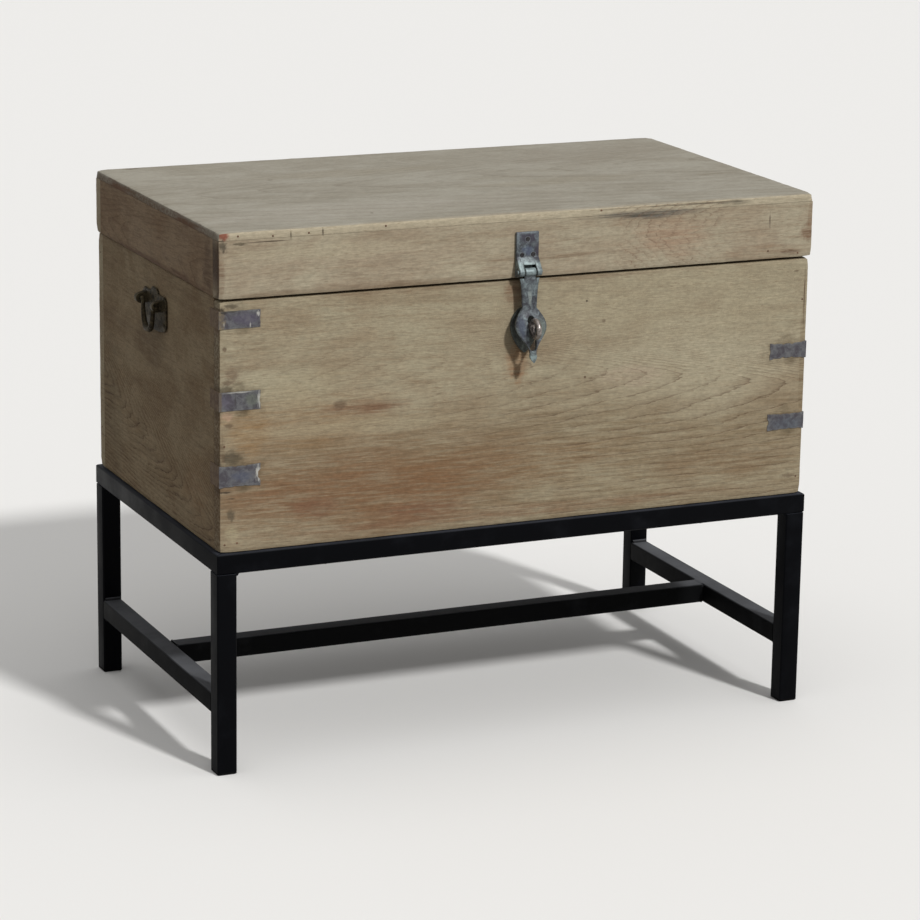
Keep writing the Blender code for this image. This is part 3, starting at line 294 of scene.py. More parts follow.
@dataclass(frozen=True)
class Figure:
    """The growth lines that a saw opens on a board: nested noses with long limbs.

    Attributes:
        along: The axis that the noses point along, 0 to 2.
        across: The axis across the board's face.
        level: The noses' height across the face, in the board's middle.
        way: 1 where the noses point up the axis, -1 where they point down it.
        steep: How sharply the limbs run back.
        pitch: Noses to the metre.
        strength: How strongly the lines show, 0 to 1.
        upper: How much faster the limbs above the noses run back.
        lean: How far the noses' own line rises to the metre.
        middle: Where along the board the figure shows most.
        reach: How far from there it fades out.
        beyond: How much of it is left further away, 0 to 1.
        bend: How sharply the noses are curved, 1 for straight limbs.
        wobble: How far the lines wander.
        fray: How far the fine streaks pull them.
    """

    along: int
    across: int
    level: float
    way: int = 1
    steep: float = 10.5
    pitch: float = 15.0
    strength: float = 0.6
    upper: float = 1.0
    lean: float = 0.0
    middle: float = 0.0
    reach: float = 2.0
    beyond: float = 1.0
    bend: float = 1.5
    wobble: float = 0.075
    fray: float = 0.030


@dataclass(frozen=True)
class WeatheredTeak:
    """Old teak, bleached by wear: pale fibres, brown growth lines and stains.

    Attributes:
        name: The material's name.
        fibre: The axis that the fibres run along, 0 to 2.
        pale: The colour of worn fibres.
        deep: The colour between them.
        line: The colour of the streaks.
        ring: The colour of the growth lines.
        figure: The growth lines.
        lean: How far the grain rises along the board, in radians.
        stains: Patches of other tones.
        stretch: How much longer than wide the grain's streaks are.
        contrast: How strongly the fine streaks show.
        relief: How deep the grain is.
        shine: The specular level.
    """

    name: str
    fibre: int
    pale: Screen
    deep: Screen
    line: Screen
    ring: Screen
    figure: Figure
    lean: float = 0.0
    stains: tuple[Stain, ...] = ()
    stretch: float = 15.0
    contrast: float = 1.0
    relief: float = 0.0004
    shine: float = 0.22

    def material(self) -> Material:
        """Build the finish.

        Returns:
            The material.
        """
        recipe = Recipe(self.name)
        band, blend, noise, sums = recipe.band, recipe.blend, recipe.noise, recipe.sums
        pale, deep, line, ring = (screen_colour(*c) for c in (self.pale, self.deep, self.line, self.ring))
        contrast = self.contrast
        stood = recipe.place
        recipe.place = self.flowing(recipe)
        along = recipe.mapped(self.scaled(self.stretch))
        shorter = recipe.mapped(self.scaled(self.stretch / 1.7))
        patches = noise(recipe.mapped(self.scaled(1.8)), 22.0, detail=5.0, rough=0.62, distortion=0.4)
        broad = noise(along, 55.0, rough=0.6)
        streaks = noise(along, 270.0, detail=5.0, rough=0.66, distortion=0.3)
        fibres = noise(shorter, 640.0, detail=3.0, rough=0.65)
        mottle = noise(recipe.mapped(self.scaled(1.5)), 260.0, rough=0.7)
        tone = blend(band(patches, 0.3, 0.7), pale, deep)
        tone = blend(band(broad, 0.46, 0.78, 0.0, 0.42 * contrast), tone, line)
        tone = blend(band(streaks, 0.5, 0.72, 0.0, 0.5 * contrast), tone, line)
        tone = blend(band(streaks, 0.3, 0.46, 0.4 * contrast, 0.0), tone, pale)
        lines = self.growth_lines(recipe, streaks, patches)
        recipe.place = stood
        tone = recipe.stained(tone, self.stains, streaks)
        tone = blend(lines, tone, ring)
        for value, reach in ((fibres, 0.13), (mottle, 0.10)):
            shade = band(value, 0.3, 0.7, 1 - reach * contrast, 1 + 0.8 * reach * contrast)
            grey = recipe.add("CombineColor", {0: shade, 1: shade, 2: shade}).outputs[0]
            tone = blend(1.0, tone, grey, "MULTIPLY")
        ticks = noise(shorter, 900.0, detail=1.0)
        tone = blend(band(ticks, 0.64, 0.74, 0.0, 0.55 * contrast), tone, line)
        height = sums("MULTIPLY_ADD", streaks, 0.5, sums("MULTIPLY", fibres, 0.5))
        height = sums("SUBTRACT", height, sums("MULTIPLY", lines, 0.6))
        rough = band(patches, 0.2, 0.8, 0.74, 0.9)
        return recipe.finish(tone, rough, height, self.relief, Specular_IOR_Level=self.shine)

    def flowing(self, recipe: Recipe) -> NodeSocket:
        """Lean the coordinates with the grain and let them wander across it.

        Args:
            recipe: The material being made.

        Returns:
            The new coordinates.
        """
        flow = recipe.noise(recipe.mapped(self.scaled(3.0)), 1.6, detail=2.0)
        rise = recipe.sums("MULTIPLY_ADD", flow, 0.05, -0.025)
        push = recipe.add("CombineXYZ", {axis: rise for axis in range(3) if axis != self.fibre})
        leant = recipe.mapped((1, 1, 1), turn=(0, self.lean, 0))
        return recipe.add("VectorMath", {0: leant, 1: push.outputs[0]}, operation="ADD").outputs[0]

    def scaled(self, factor: float) -> list[float]:
        """Work out the scale along each axis of a pattern that is longer than wide by a factor."""
        return [1.0 / factor if axis == self.fibre else 1.0 for axis in range(3)]

    def growth_lines(self, recipe: Recipe, streaks: NodeSocket, patches: NodeSocket) -> NodeSocket:
        """Thin ragged lines in nested noses, stronger in some places than in others.

        Args:
            recipe: The material being made.
            streaks: Noise along the grain.
            patches: Soft clouds.

        Returns:
            How strongly the lines show, 0 to 1.
        """
        figure, band, sums = self.figure, recipe.band, recipe.sums
        narrow = [2.5 if axis == figure.across else 1.0 for axis in range(3)]
        wobble = recipe.noise(recipe.mapped(narrow), 8.0)
        split = recipe.add("SeparateXYZ", {0: recipe.place}).outputs
        along, across = split[figure.along], split[figure.across]
        middle = sums("MULTIPLY_ADD", along, figure.lean, figure.level)
        away = sums("SUBTRACT", across, middle)
        upper = sums("MULTIPLY", sums("MAXIMUM", away, 0.0), figure.upper)
        lower = sums("MAXIMUM", sums("MULTIPLY", away, -1.0), 0.0)
        limbs = sums("POWER", sums("MAXIMUM", upper, lower), figure.bend)
        ring = sums("MULTIPLY_ADD", limbs, figure.steep, sums("MULTIPLY", along, figure.way))
        ring = sums("MULTIPLY_ADD", wobble, figure.wobble, ring)
        ring = sums("MULTIPLY_ADD", streaks, figure.fray, ring)
        wave = sums("FRACT", sums("MULTIPLY", ring, figure.pitch))
        thin = band(wave, 0.84, 0.99)
        faint = sums("MULTIPLY", band(wave, 0.35, 0.9), 0.25)
        shown = band(patches, 0.35, 0.56, 0.35, 1.0)
        off = sums("ABSOLUTE", sums("SUBTRACT", along, figure.middle))
        fade = band(off, 0.45 * figure.reach, figure.reach, 1.0, figure.beyond)
        shown = sums("MULTIPLY", shown, fade)
        lines = sums("MULTIPLY", sums("MAXIMUM", thin, faint), shown)
        return sums("MULTIPLY", lines, figure.strength)


@dataclass(frozen=True)
class OldMetal:
    """Worn metal with blotches, stains and bare edges.

    Attributes:
        name: The material's name.
        dark: The colour in the hollows.
        mid: The main colour.
        light: The colour where it is worn or corroded.
        metallic: How metallic the surface is.
        rough: The roughness.
        grain: Blotches to the metre.
        light_share: How much of the light colour shows.
        bare: How strongly the light colour shows on the edges.
        stains: Patches of other tones.
        grime: Patches that lie over the bare edges too: grime, and on the brass painted shade in the
            knuckle gaps.
        index: The refractive index; a low one throws less light back at a slant.
        relief: How deep the blotches are.
    """

    name: str
    dark: Screen
    mid: Screen
    light: Screen
    metallic: float = 0.5
    rough: float = 0.5
    grain: float = 160.0
    light_share: float = 0.45
    bare: float = 0.5
    stains: tuple[Stain, ...] = ()
    grime: tuple[Stain, ...] = ()
    index: float = 1.5
    relief: float = 0.0003

    def material(self) -> Material:
        """Build the finish.

        Returns:
            The material.
        """
        recipe = Recipe(self.name)
        band, blend, noise, sums = recipe.band, recipe.blend, recipe.noise, recipe.sums
        dark, mid, light = (screen_colour(*c) for c in (self.dark, self.mid, self.light))
        blotch = noise(recipe.place, self.grain, detail=5.0, rough=0.65, distortion=0.6)
        speck = noise(recipe.place, self.grain * 5, detail=3.0, rough=0.7)
        tone = blend(band(blotch, 0.36, 0.6), dark, mid)
        tone = recipe.stained(tone, self.stains, blotch)
        tone = blend(band(blotch, 0.52, 0.74, 0.0, self.light_share), tone, light)
        tone = blend(band(speck, 0.6, 0.72, 0.0, self.light_share), tone, light)
        tone = blend(band(speck, 0.25, 0.4, 0.6, 0.0), tone, dark)
        edge = recipe.add("Attribute", {}, attribute_name=EDGE_MARK).outputs["Fac"]
        rub = band(edge, 0.06, 0.3, 0.0, self.bare)
        rub = sums("MULTIPLY", rub, band(blotch, 0.3, 0.55, 0.25, 1.0))
        tone = recipe.stained(blend(rub, tone, light), self.grime, blotch)
        rough = band(speck, 0.3, 0.7, self.rough - 0.1, self.rough + 0.15)
        height = sums("ADD", blotch, sums("MULTIPLY", speck, 0.4))
        return recipe.finish(tone, rough, height, self.relief, Metallic=self.metallic, IOR=self.index)


@dataclass(frozen=True)
class BlackPaint:
    """Satin black paint on steel, a little bluish, with fine orange peel, and dust with a painted sheen
    on what faces up.

    Attributes:
        name: The material's name.
        paint: The colour of the paint, as light.
        dust_and_sheen: The colour of the dust and of the painted sheen, as light.
        rough: The roughness.
        settled_and_sheen: How much dust and painted sheen lie on faces that point up.
        index: The refractive index; a low one throws less light back at a slant.
        relief: How deep the orange peel is.
    """

    name: str
    paint: Light
    dust_and_sheen: Light
    rough: float = 0.42
    settled_and_sheen: float = 0.9
    index: float = 1.12
    relief: float = 0.00003

    def material(self) -> Material:
        """Build the finish.

        Returns:
            The material.
        """
        recipe = Recipe(self.name)
        band, sums = recipe.band, recipe.sums
        peel = recipe.noise(recipe.place, 900.0, detail=2.0)
        cloud = recipe.noise(recipe.place, 18.0, detail=5.0, rough=0.6)
        normal = recipe.add("NewGeometry", {}).outputs["Normal"]
        facing = recipe.add("SeparateXYZ", {0: normal}).outputs["Z"]
        # Faces that point up get dust and a painted sheen.
        lying = band(facing, 0.55, 0.97, 0.0, self.settled_and_sheen)
        lying = sums("MULTIPLY", lying, band(cloud, 0.25, 0.7, 0.55, 1.0))
        share = sums("MAXIMUM", lying, band(cloud, 0.5, 0.78, 0.0, 0.12))
        tone = recipe.blend(share, self.paint, self.dust_and_sheen)
        rough = band(cloud, 0.3, 0.7, self.rough, self.rough + 0.14)
        return recipe.finish(tone, rough, peel, self.relief, IOR=self.index)


def front_stains_and_shade() -> tuple[Stain, ...]:
    """The body's front: greyer at the top and right, brown and orange at the lower left, with the hasp's
    shadow and the shade in its slot painted on.

    Returns:
        The stains, in the order in which they are laid.
    """
    orange, rust, brown, dark = (144, 112, 74), (122, 90, 68), (128, 104, 78), (92, 72, 56)
    pink, grime, black, halo = (190, 158, 134), (84, 76, 62), (48, 40, 34), (96, 84, 64)
    return Side.FRONT.stains(
        (0.2, 0.54, 0.35, 0.07, (174, 163, 136), 0.7, 0.6),
        (0.1, 0.34, 0.6, 0.13, (134, 118, 92), 0.75),
        (-0.22, 0.34, 0.3, 0.11, brown, 0.8),
        (-0.3, 0.43, 0.16, 0.05, orange, 0.35),
        (-0.355, 0.42, 0.035, 0.035, orange, 0.6, 0.4),
        (-0.2, 0.335, 0.24, 0.055, (124, 88, 60), 0.6, 0.7),
        (-0.02, 0.355, 0.22, 0.04, (126, 94, 64), 0.45, 0.7),
        (-0.21, 0.418, 0.2, 0.014, (174, 162, 134), 0.6, 0.8),
        (-0.30, 0.475, 0.1, 0.03, (172, 162, 134), 0.5, 0.7),
        (0.24, 0.45, 0.2, 0.075, (178, 168, 143), 0.7, 0.7),
        (-0.208, 0.441, 0.075, 0.011, rust, 0.8),
        (-0.240, 0.4465, 0.012, 0.008, dark, 0.6, 0.4, False),
        (-0.272, 0.323, 0.045, 0.018, rust, 0.85),
        (-0.128, 0.306, 0.08, 0.015, rust, 0.8),
        (0.0, 0.292, 0.42, 0.010, rust, 0.5),
        (0.28, 0.33, 0.14, 0.03, brown, 0.5),
        (0.0, 0.5795, 0.42, 0.0035, (104, 80, 60), 0.5),
        (-0.383, 0.444, 0.010, 0.007, pink, 0.6, 0.8, False),
        (-0.3775, 0.393, 0.018, 0.012, grime, 0.85, 0.7, False),
        (-0.3776, 0.300, 0.013, 0.014, (172, 162, 132), 0.6, 0.7),
        (-0.3789, 0.3229, 0.007, 0.010, grime, 0.7, 0.7, False),
        (-0.386, 0.352, 0.012, 0.0016, black, 0.8, 0.9, False),
        (-0.378, 0.344, 0.006, 0.0012, black, 0.6, 0.9, False),
        (-0.384, 0.4755, 0.012, 0.010, grime, 0.75, 0.8, False),
        (-0.390, 0.572, 0.005, 0.004, black, 0.85, 0.6, False),
        (-0.378, 0.5765, 0.012, 0.004, grime, 0.8, 0.8, False),
        (-0.3938, 0.556, 0.0035, 0.018, (84, 50, 38), 0.8, 0.7, False),
        (-0.3938, 0.372, 0.004, 0.030, black, 0.85, 0.7, False),
        (-0.3938, 0.462, 0.0035, 0.030, black, 0.7, 0.8, False),
        # Painted shade: black on the wood seen through the bottom of the hasp's slot.
        (0.0135, 0.497, 0.0075, 0.015, black, 0.92, 0.3, False),
        (-0.3675, 0.5605, 0.036, 0.023, halo, 0.5, 0.9, False),
        (-0.3675, 0.4625, 0.036, 0.024, halo, 0.8, 0.9, False),
        (-0.3675, 0.3715, 0.036, 0.025, halo, 0.8, 0.9, False),
        (0.3675, 0.4655, 0.036, 0.022, halo, 0.6, 0.9, False),
        (0.3675, 0.3735, 0.036, 0.022, halo, 0.6, 0.9, False),
        (-0.377, 0.494, 0.012, 0.012, (112, 92, 74), 0.6, 0.6, False),
        (0.0841, 0.4542, 0.0022, 0.0022, dark, 0.9, 0.2, False),
        (-0.014, 0.565, 0.018, 0.022, rust, 0.7, 0.5),
        # Painted shadow: the warm brown shadow that the hasp casts on the wood below it.
        (-0.008, 0.478, 0.020, 0.032, (140, 98, 64), 0.7, 0.5),
        (-0.3865, 0.5255, 0.004, 0.004, dark, 0.7, 0.4, False),
        (-0.383, 0.485, 0.010, 0.004, dark, 0.6, 0.6, False),
        (-0.381, 0.433, 0.008, 0.004, dark, 0.6, 0.6, False),
        (-0.3895, 0.40, 0.005, 0.03, (104, 84, 64), 0.6, 0.8),
        (0.389, 0.44, 0.006, 0.12, (122, 104, 78), 0.6, 0.8),
        (0.375, 0.302, 0.012, 0.004, dark, 0.5, 0.8, False),
        (0.3885, 0.53, 0.0013, 0.045, dark, 0.75, 0.9, False),
        (0.376, 0.567, 0.005, 0.0012, dark, 0.7, 0.8, False),
        (0.0841, 0.5497, 0.0018, 0.0018, black, 0.9, 0.2, False),
        (0.108, 0.523, 0.0035, 0.0035, dark, 0.5, 0.5, False),
        (0.15, 0.45, 0.06, 0.018, (172, 152, 132), 0.5, 0.6),
        (-0.3938, 0.43, 0.0026, 0.4, (84, 66, 46), 0.85, 0.4),
        (0.3938, 0.43, 0.0022, 0.4, (98, 84, 60), 0.8, 0.3),
    )


def zinc_stains() -> tuple[Stain, ...]:
    """The corner straps: purple and blue blotches, torn white ends and scratches.

    Returns:
        The stains, in the order in which they are laid.
    """
    white = (186, 184, 176)
    return Side.FRONT.stains(
        (-0.36, 0.5605, 0.024, 0.010, (78, 72, 88), 0.7, 0.6, False),
        (-0.3445, 0.566, 0.0028, 0.004, white, 0.85, 0.9, False),
        (-0.3875, 0.556, 0.0015, 0.004, white, 0.7, 0.9, False),
        (-0.3545, 0.553, 0.0011, 0.004, white, 0.7, 0.9, False),
        (-0.3435, 0.4625, 0.0028, 0.012, white, 0.85, 1.0, False),
        (-0.368, 0.4728, 0.022, 0.0012, white, 0.7, 0.9, False),
        (-0.3735, 0.4625, 0.0012, 0.011, (56, 52, 54), 0.8, 0.6, False),
        (-0.3445, 0.3725, 0.0042, 0.012, white, 0.9, 1.0, False),
        (-0.365, 0.3845, 0.022, 0.0012, white, 0.7, 0.9, False),
        (-0.365, 0.370, 0.018, 0.009, (74, 78, 94), 0.7, 0.7, False),
        (-0.352, 0.4625, 0.012, 0.012, (98, 104, 88), 0.6, 0.6),
        (-0.385, 0.4625, 0.014, 0.012, (88, 80, 96), 0.6, 0.6),
        (0.37, 0.37, 0.03, 0.012, (80, 88, 98), 0.6, 0.6),
    )


def hasp_stains_and_highlight() -> tuple[Stain, ...]:
    """The hasp from its plate down to its tip: purple, blue, pale green, and a painted highlight along
    the neck's ridge.

    Returns:
        The stains, in the order in which they are laid.
    """
    purple, blue, pale = (60, 54, 66), (78, 86, 106), (136, 152, 150)
    return (
        Stain((0.0, -0.21, 0.639), (0.03, 0.03, 0.014), purple, 0.8, 0.5, False),
        Stain((0.0, -0.21, 0.619), (0.011, 0.03, 0.008), blue, 0.75, 0.5, False),
        Stain((0.013, -0.21, 0.62), (0.005, 0.03, 0.014), purple, 0.6, 0.5, False),
        Stain((0.0, -0.215, 0.600), (0.03, 0.03, 0.011), pale, 0.7, 0.6),
        # Painted highlight along the ridge down the arm's neck.
        Stain((0.0, -0.225, 0.562), (0.0032, 0.03, 0.016), (164, 172, 166), 0.7, 0.9),
        Stain((0.0, -0.22, 0.575), (0.02, 0.03, 0.012), (108, 118, 120), 0.6, 0.5),
        Stain((-0.013, -0.23, 0.528), (0.007, 0.03, 0.018), (58, 66, 82), 0.75, 0.5, False),
        Stain((0.014, -0.23, 0.525), (0.007, 0.03, 0.018), (92, 100, 88), 0.6, 0.5, False),
        Stain((0.0, -0.235, 0.489), (0.012, 0.03, 0.011), pale, 0.8, 0.6),
    )


LID_FRONT_STAINS = Side.FRONT.stains(
    (0.0, 0.6605, 3.0, 0.0075, (176, 165, 141), 0.8, 0.15, False),
    (-0.3885, 0.661, 0.010, 0.008, (124, 66, 50), 0.9, 0.5, False),
    (-0.2, 0.588, 0.25, 0.007, (126, 104, 82), 0.5),
    (0.33, 0.593, 0.09, 0.014, (128, 98, 72), 0.5),
    (0.388, 0.616, 0.012, 0.014, (112, 80, 58), 0.8, 0.6),
    (0.392, 0.63, 0.006, 0.03, (120, 92, 70), 0.6),
    (-0.392, 0.61, 0.008, 0.04, (110, 82, 62), 0.6),
    (0.2, 0.622, 0.07, 0.034, (164, 132, 108), 0.5, 0.6),
    (0.334, 0.634, 0.0014, 0.012, (72, 58, 48), 0.7, 1.3, False),
    (0.365, 0.592, 0.02, 0.004, (88, 62, 48), 0.8, 0.9),
    (-0.25, 0.634, 0.16, 0.014, (182, 172, 146), 0.6, 0.9),
    (0.03, 0.609, 0.14, 0.004, (126, 106, 84), 0.6, 0.9),
    (-0.33, 0.6513, 0.036, 0.0010, (70, 58, 46), 0.9, 0.6, False),
    (-0.368, 0.6503, 0.012, 0.0024, (92, 84, 68), 0.85, 0.8, False),
    (-0.3044, 0.6571, 0.0012, 0.007, (88, 78, 62), 0.8, 0.7, False),
    (-0.2641, 0.658, 0.0015, 0.006, (72, 62, 50), 0.8, 0.8, False),
    (-0.389, 0.648, 0.006, 0.009, (84, 76, 64), 0.8, 1.1, False),
    (0.166, 0.6528, 0.095, 0.0075, (112, 107, 97), 0.95, 0.5),
    (0.14, 0.6518, 0.07, 0.0020, (76, 71, 63), 0.9, 0.9),
    (0.2837, 0.6600, 0.035, 0.0036, (110, 104, 90), 0.9, 0.8),
    (0.22, 0.6616, 0.16, 0.0016, (90, 80, 66), 0.85, 1.0),
    (-0.3945, 0.62, 0.0016, 0.06, (62, 46, 35), 0.9, 0.6, False),
)
LID_TOP_STAINS = (
    *Side.TOP.stains(
        (-0.2, -0.12, 0.3, 0.07, (164, 158, 146), 0.5),
        (0.25, 0.14, 0.2, 0.09, (136, 128, 114), 0.5),
        (0.05, -0.203, 0.42, 0.006, (150, 138, 118), 0.6),
        (-0.396, 0.02, 0.0028, 0.5, (96, 76, 56), 0.9, 0.5),
    ),
    Stain((-0.396, 0.15, 0.655), (0.004, 0.09, 0.012), (98, 70, 50), 0.9, 1.0, False),
    Stain((-0.396, -0.10, 0.655), (0.004, 0.11, 0.012), (96, 68, 48), 0.9, 1.0, False),
    *Side.TOP.stains(
        (0.14, -0.02, 0.16, 0.03, (138, 129, 110), 0.45),
        (-0.1, 0.12, 0.2, 0.03, (140, 131, 113), 0.45),
        (-0.35, 0.236, 0.014, 0.005, (88, 76, 58), 0.8, 0.9, False),
        (-0.2125, 0.103, 0.006, 0.003, (98, 86, 70), 0.8, 0.6, False),
        (-0.1777, -0.147, 0.003, 0.003, (84, 74, 60), 0.8, 0.4, False),
        (0.34, -0.04, 0.05, 0.004, (124, 114, 96), 0.7, 0.9),
        (0.396, 0.02, 0.0026, 0.5, (100, 84, 66), 0.8, 0.5),
        (0.0, -0.2092, 3.0, 0.0064, (172, 160, 136), 0.95, 0.15, False),
    ),
)
END_STAINS = Side.LEFT.stains(
    (-0.19, 0.43, 0.012, 0.2, (104, 84, 58), 0.7),
    (0.2, 0.35, 0.06, 0.12, (104, 92, 70), 0.5),
    (0.044, 0.49, 0.07, 0.05, (92, 74, 54), 0.55),
    (-0.12, 0.34, 0.06, 0.05, (132, 104, 74), 0.5),
)
LID_END_STAINS = Side.LEFT.stains(
    (0.0, 0.588, 0.3, 0.006, (84, 58, 44), 0.7),
    (-0.17, 0.62, 0.02, 0.05, (84, 66, 50), 0.7),
)
STRAP_GRIME = Side.FRONT.stains(
    (-0.3925, 0.5605, 0.0105, 0.03, (118, 104, 80), 1.0, 1.5),
    (-0.3875, 0.5695, 0.006, 0.0024, (40, 36, 32), 0.9, 0.9, False),
    (-0.377, 0.5702, 0.009, 0.0016, (52, 48, 42), 0.8, 0.9, False),
    (-0.3925, 0.4625, 0.0035, 0.03, (96, 84, 68), 0.8, 0.9, False),
)
# Painted shade: the dark gaps beside the hasp arm's knuckle, laid over the brass as its grime.
KNUCKLE_GAP_SHADE = tuple(
    Stain((x, -0.216, 0.595), (0.0019, 0.03, 0.015), (24, 30, 28), 0.95, 0.2, False)
    for x in (-0.0077, 0.0077))


class Finish(Enum):
    """Every finish, to be made once."""

    FRONT = WeatheredTeak(
        "teak_front", 0, (166, 156, 131), (156, 141, 116), (126, 106, 82), (100, 80, 62),
        Figure(0, 2, 0.4725, 1, steep=11.5, pitch=19.0, strength=0.62, upper=4.0, lean=-0.12,
               middle=0.25, reach=0.42, beyond=0.4), lean=-0.02, stains=front_stains_and_shade())
    BACK = WeatheredTeak(
        "teak_back", 0, (163, 152, 127), (152, 136, 112), (124, 104, 80), (100, 80, 62),
        Figure(0, 2, 0.40, -1, steep=9.0, pitch=14.0, upper=3.0, lean=0.1), lean=0.02,
        stains=(Stain((0.15, 0.24, 0.33), (0.28, 0.1, 0.05), (116, 88, 62), 0.6),))
    LID_FRONT = WeatheredTeak(
        "teak_lid_front", 0, (171, 161, 138), (160, 145, 123), (134, 115, 92), (124, 96, 76),
        Figure(0, 2, 0.619, -1, steep=7.0, pitch=60.0, lean=-0.02, middle=0.205, reach=0.1,
               beyond=0.0), lean=0.012, stains=LID_FRONT_STAINS)
    LID_TOP = WeatheredTeak(
        "teak_lid_top", 0, (155, 150, 137), (144, 138, 124), (126, 118, 104), (112, 102, 88),
        Figure(0, 1, 0.05, -1, steep=7.0, pitch=10.0, strength=0.4, upper=2.0, lean=0.05),
        stains=LID_TOP_STAINS, contrast=0.7)
    END = WeatheredTeak(
        "teak_end", 1, (142, 126, 99), (131, 112, 86), (100, 80, 60), (70, 52, 40),
        Figure(1, 2, 0.345, -1, steep=12.0, pitch=36.0, strength=0.95, upper=1.3, lean=0.25),
        stains=END_STAINS)
    LID_END = WeatheredTeak(
        "teak_lid_end", 1, (140, 121, 97), (128, 107, 84), (96, 74, 58), (76, 56, 44),
        Figure(1, 2, 0.61, 1, steep=12.0, pitch=20.0, strength=0.5, upper=2.0), stains=LID_END_STAINS)
    ZINC = OldMetal(
        "zinc_sheet", (66, 62, 68), (92, 92, 95), (160, 160, 152), metallic=0.1, rough=0.6,
        grain=120.0, light_share=0.13, bare=0.12, stains=zinc_stains(), grime=STRAP_GRIME)
    GRIMY_ZINC = OldMetal(
        "grimy_zinc", (84, 66, 52), (108, 90, 70), (128, 112, 90), metallic=0.0, rough=0.85,
        grain=120.0, light_share=0.2, bare=0.0)
    # The brass's grime is painted shade in the knuckle gaps, and its stains hold a painted highlight on
    # the neck.
    BRASS = OldMetal(
        "verdigris_brass", (50, 50, 56), (88, 94, 97), (150, 166, 168), metallic=0.3, rough=0.45,
        grain=180.0, light_share=0.35, bare=0.7, stains=hasp_stains_and_highlight(), grime=KNUCKLE_GAP_SHADE)
    BRIGHT_RIM = OldMetal(
        "bright_rim", (104, 108, 116), (140, 146, 150), (180, 188, 186), metallic=0.3, rough=0.4,
        grain=300.0, light_share=0.5)
    DULL_BRASS = OldMetal(
        "dull_brass", (34, 36, 34), (58, 62, 56), (110, 122, 112), metallic=0.3, rough=0.55,
        grain=180.0, light_share=0.2)
    EYE = OldMetal(
        "rubbed_eye", (54, 48, 46), (112, 104, 100), (222, 212, 204), metallic=0.55, rough=0.32,
        grain=110.0, light_share=0.75, bare=0.3)
    BRONZE = OldMetal(
        "dark_bronze", (30, 25, 18), (72, 64, 48), (108, 97, 75), metallic=0.1, grain=170.0,
        light_share=0.22, bare=0.45, index=1.15)
    IRON = OldMetal(
        "old_iron", (34, 32, 34), (52, 49, 50), (96, 90, 88), metallic=0.3, rough=0.6, grain=200.0,
        light_share=0.3)
    RUST = OldMetal(
        "rusty_nail", (72, 52, 40), (108, 78, 58), (136, 98, 72), metallic=0.0, rough=0.85,
        grain=400.0, light_share=0.5)
    PAINT = BlackPaint("black_paint", (0.0018, 0.0020, 0.0028), (0.040, 0.043, 0.053))
    # Stretchers: lighter paint and more dust than the rest, partly scuffs and dust, partly painted bounce
    # light on their faces and painted sheen on their tops.
    SCUFFED = BlackPaint(
        "scuffed_paint", (0.0042, 0.0044, 0.0048), (0.108, 0.111, 0.119), rough=0.5, settled_and_sheen=1.0)
    PLASTIC = BlackPaint(
        "black_plastic", (0.004, 0.004, 0.004), (0.03, 0.03, 0.03), rough=0.6, settled_and_sheen=0.3)


Palette = dict[Finish, Material]


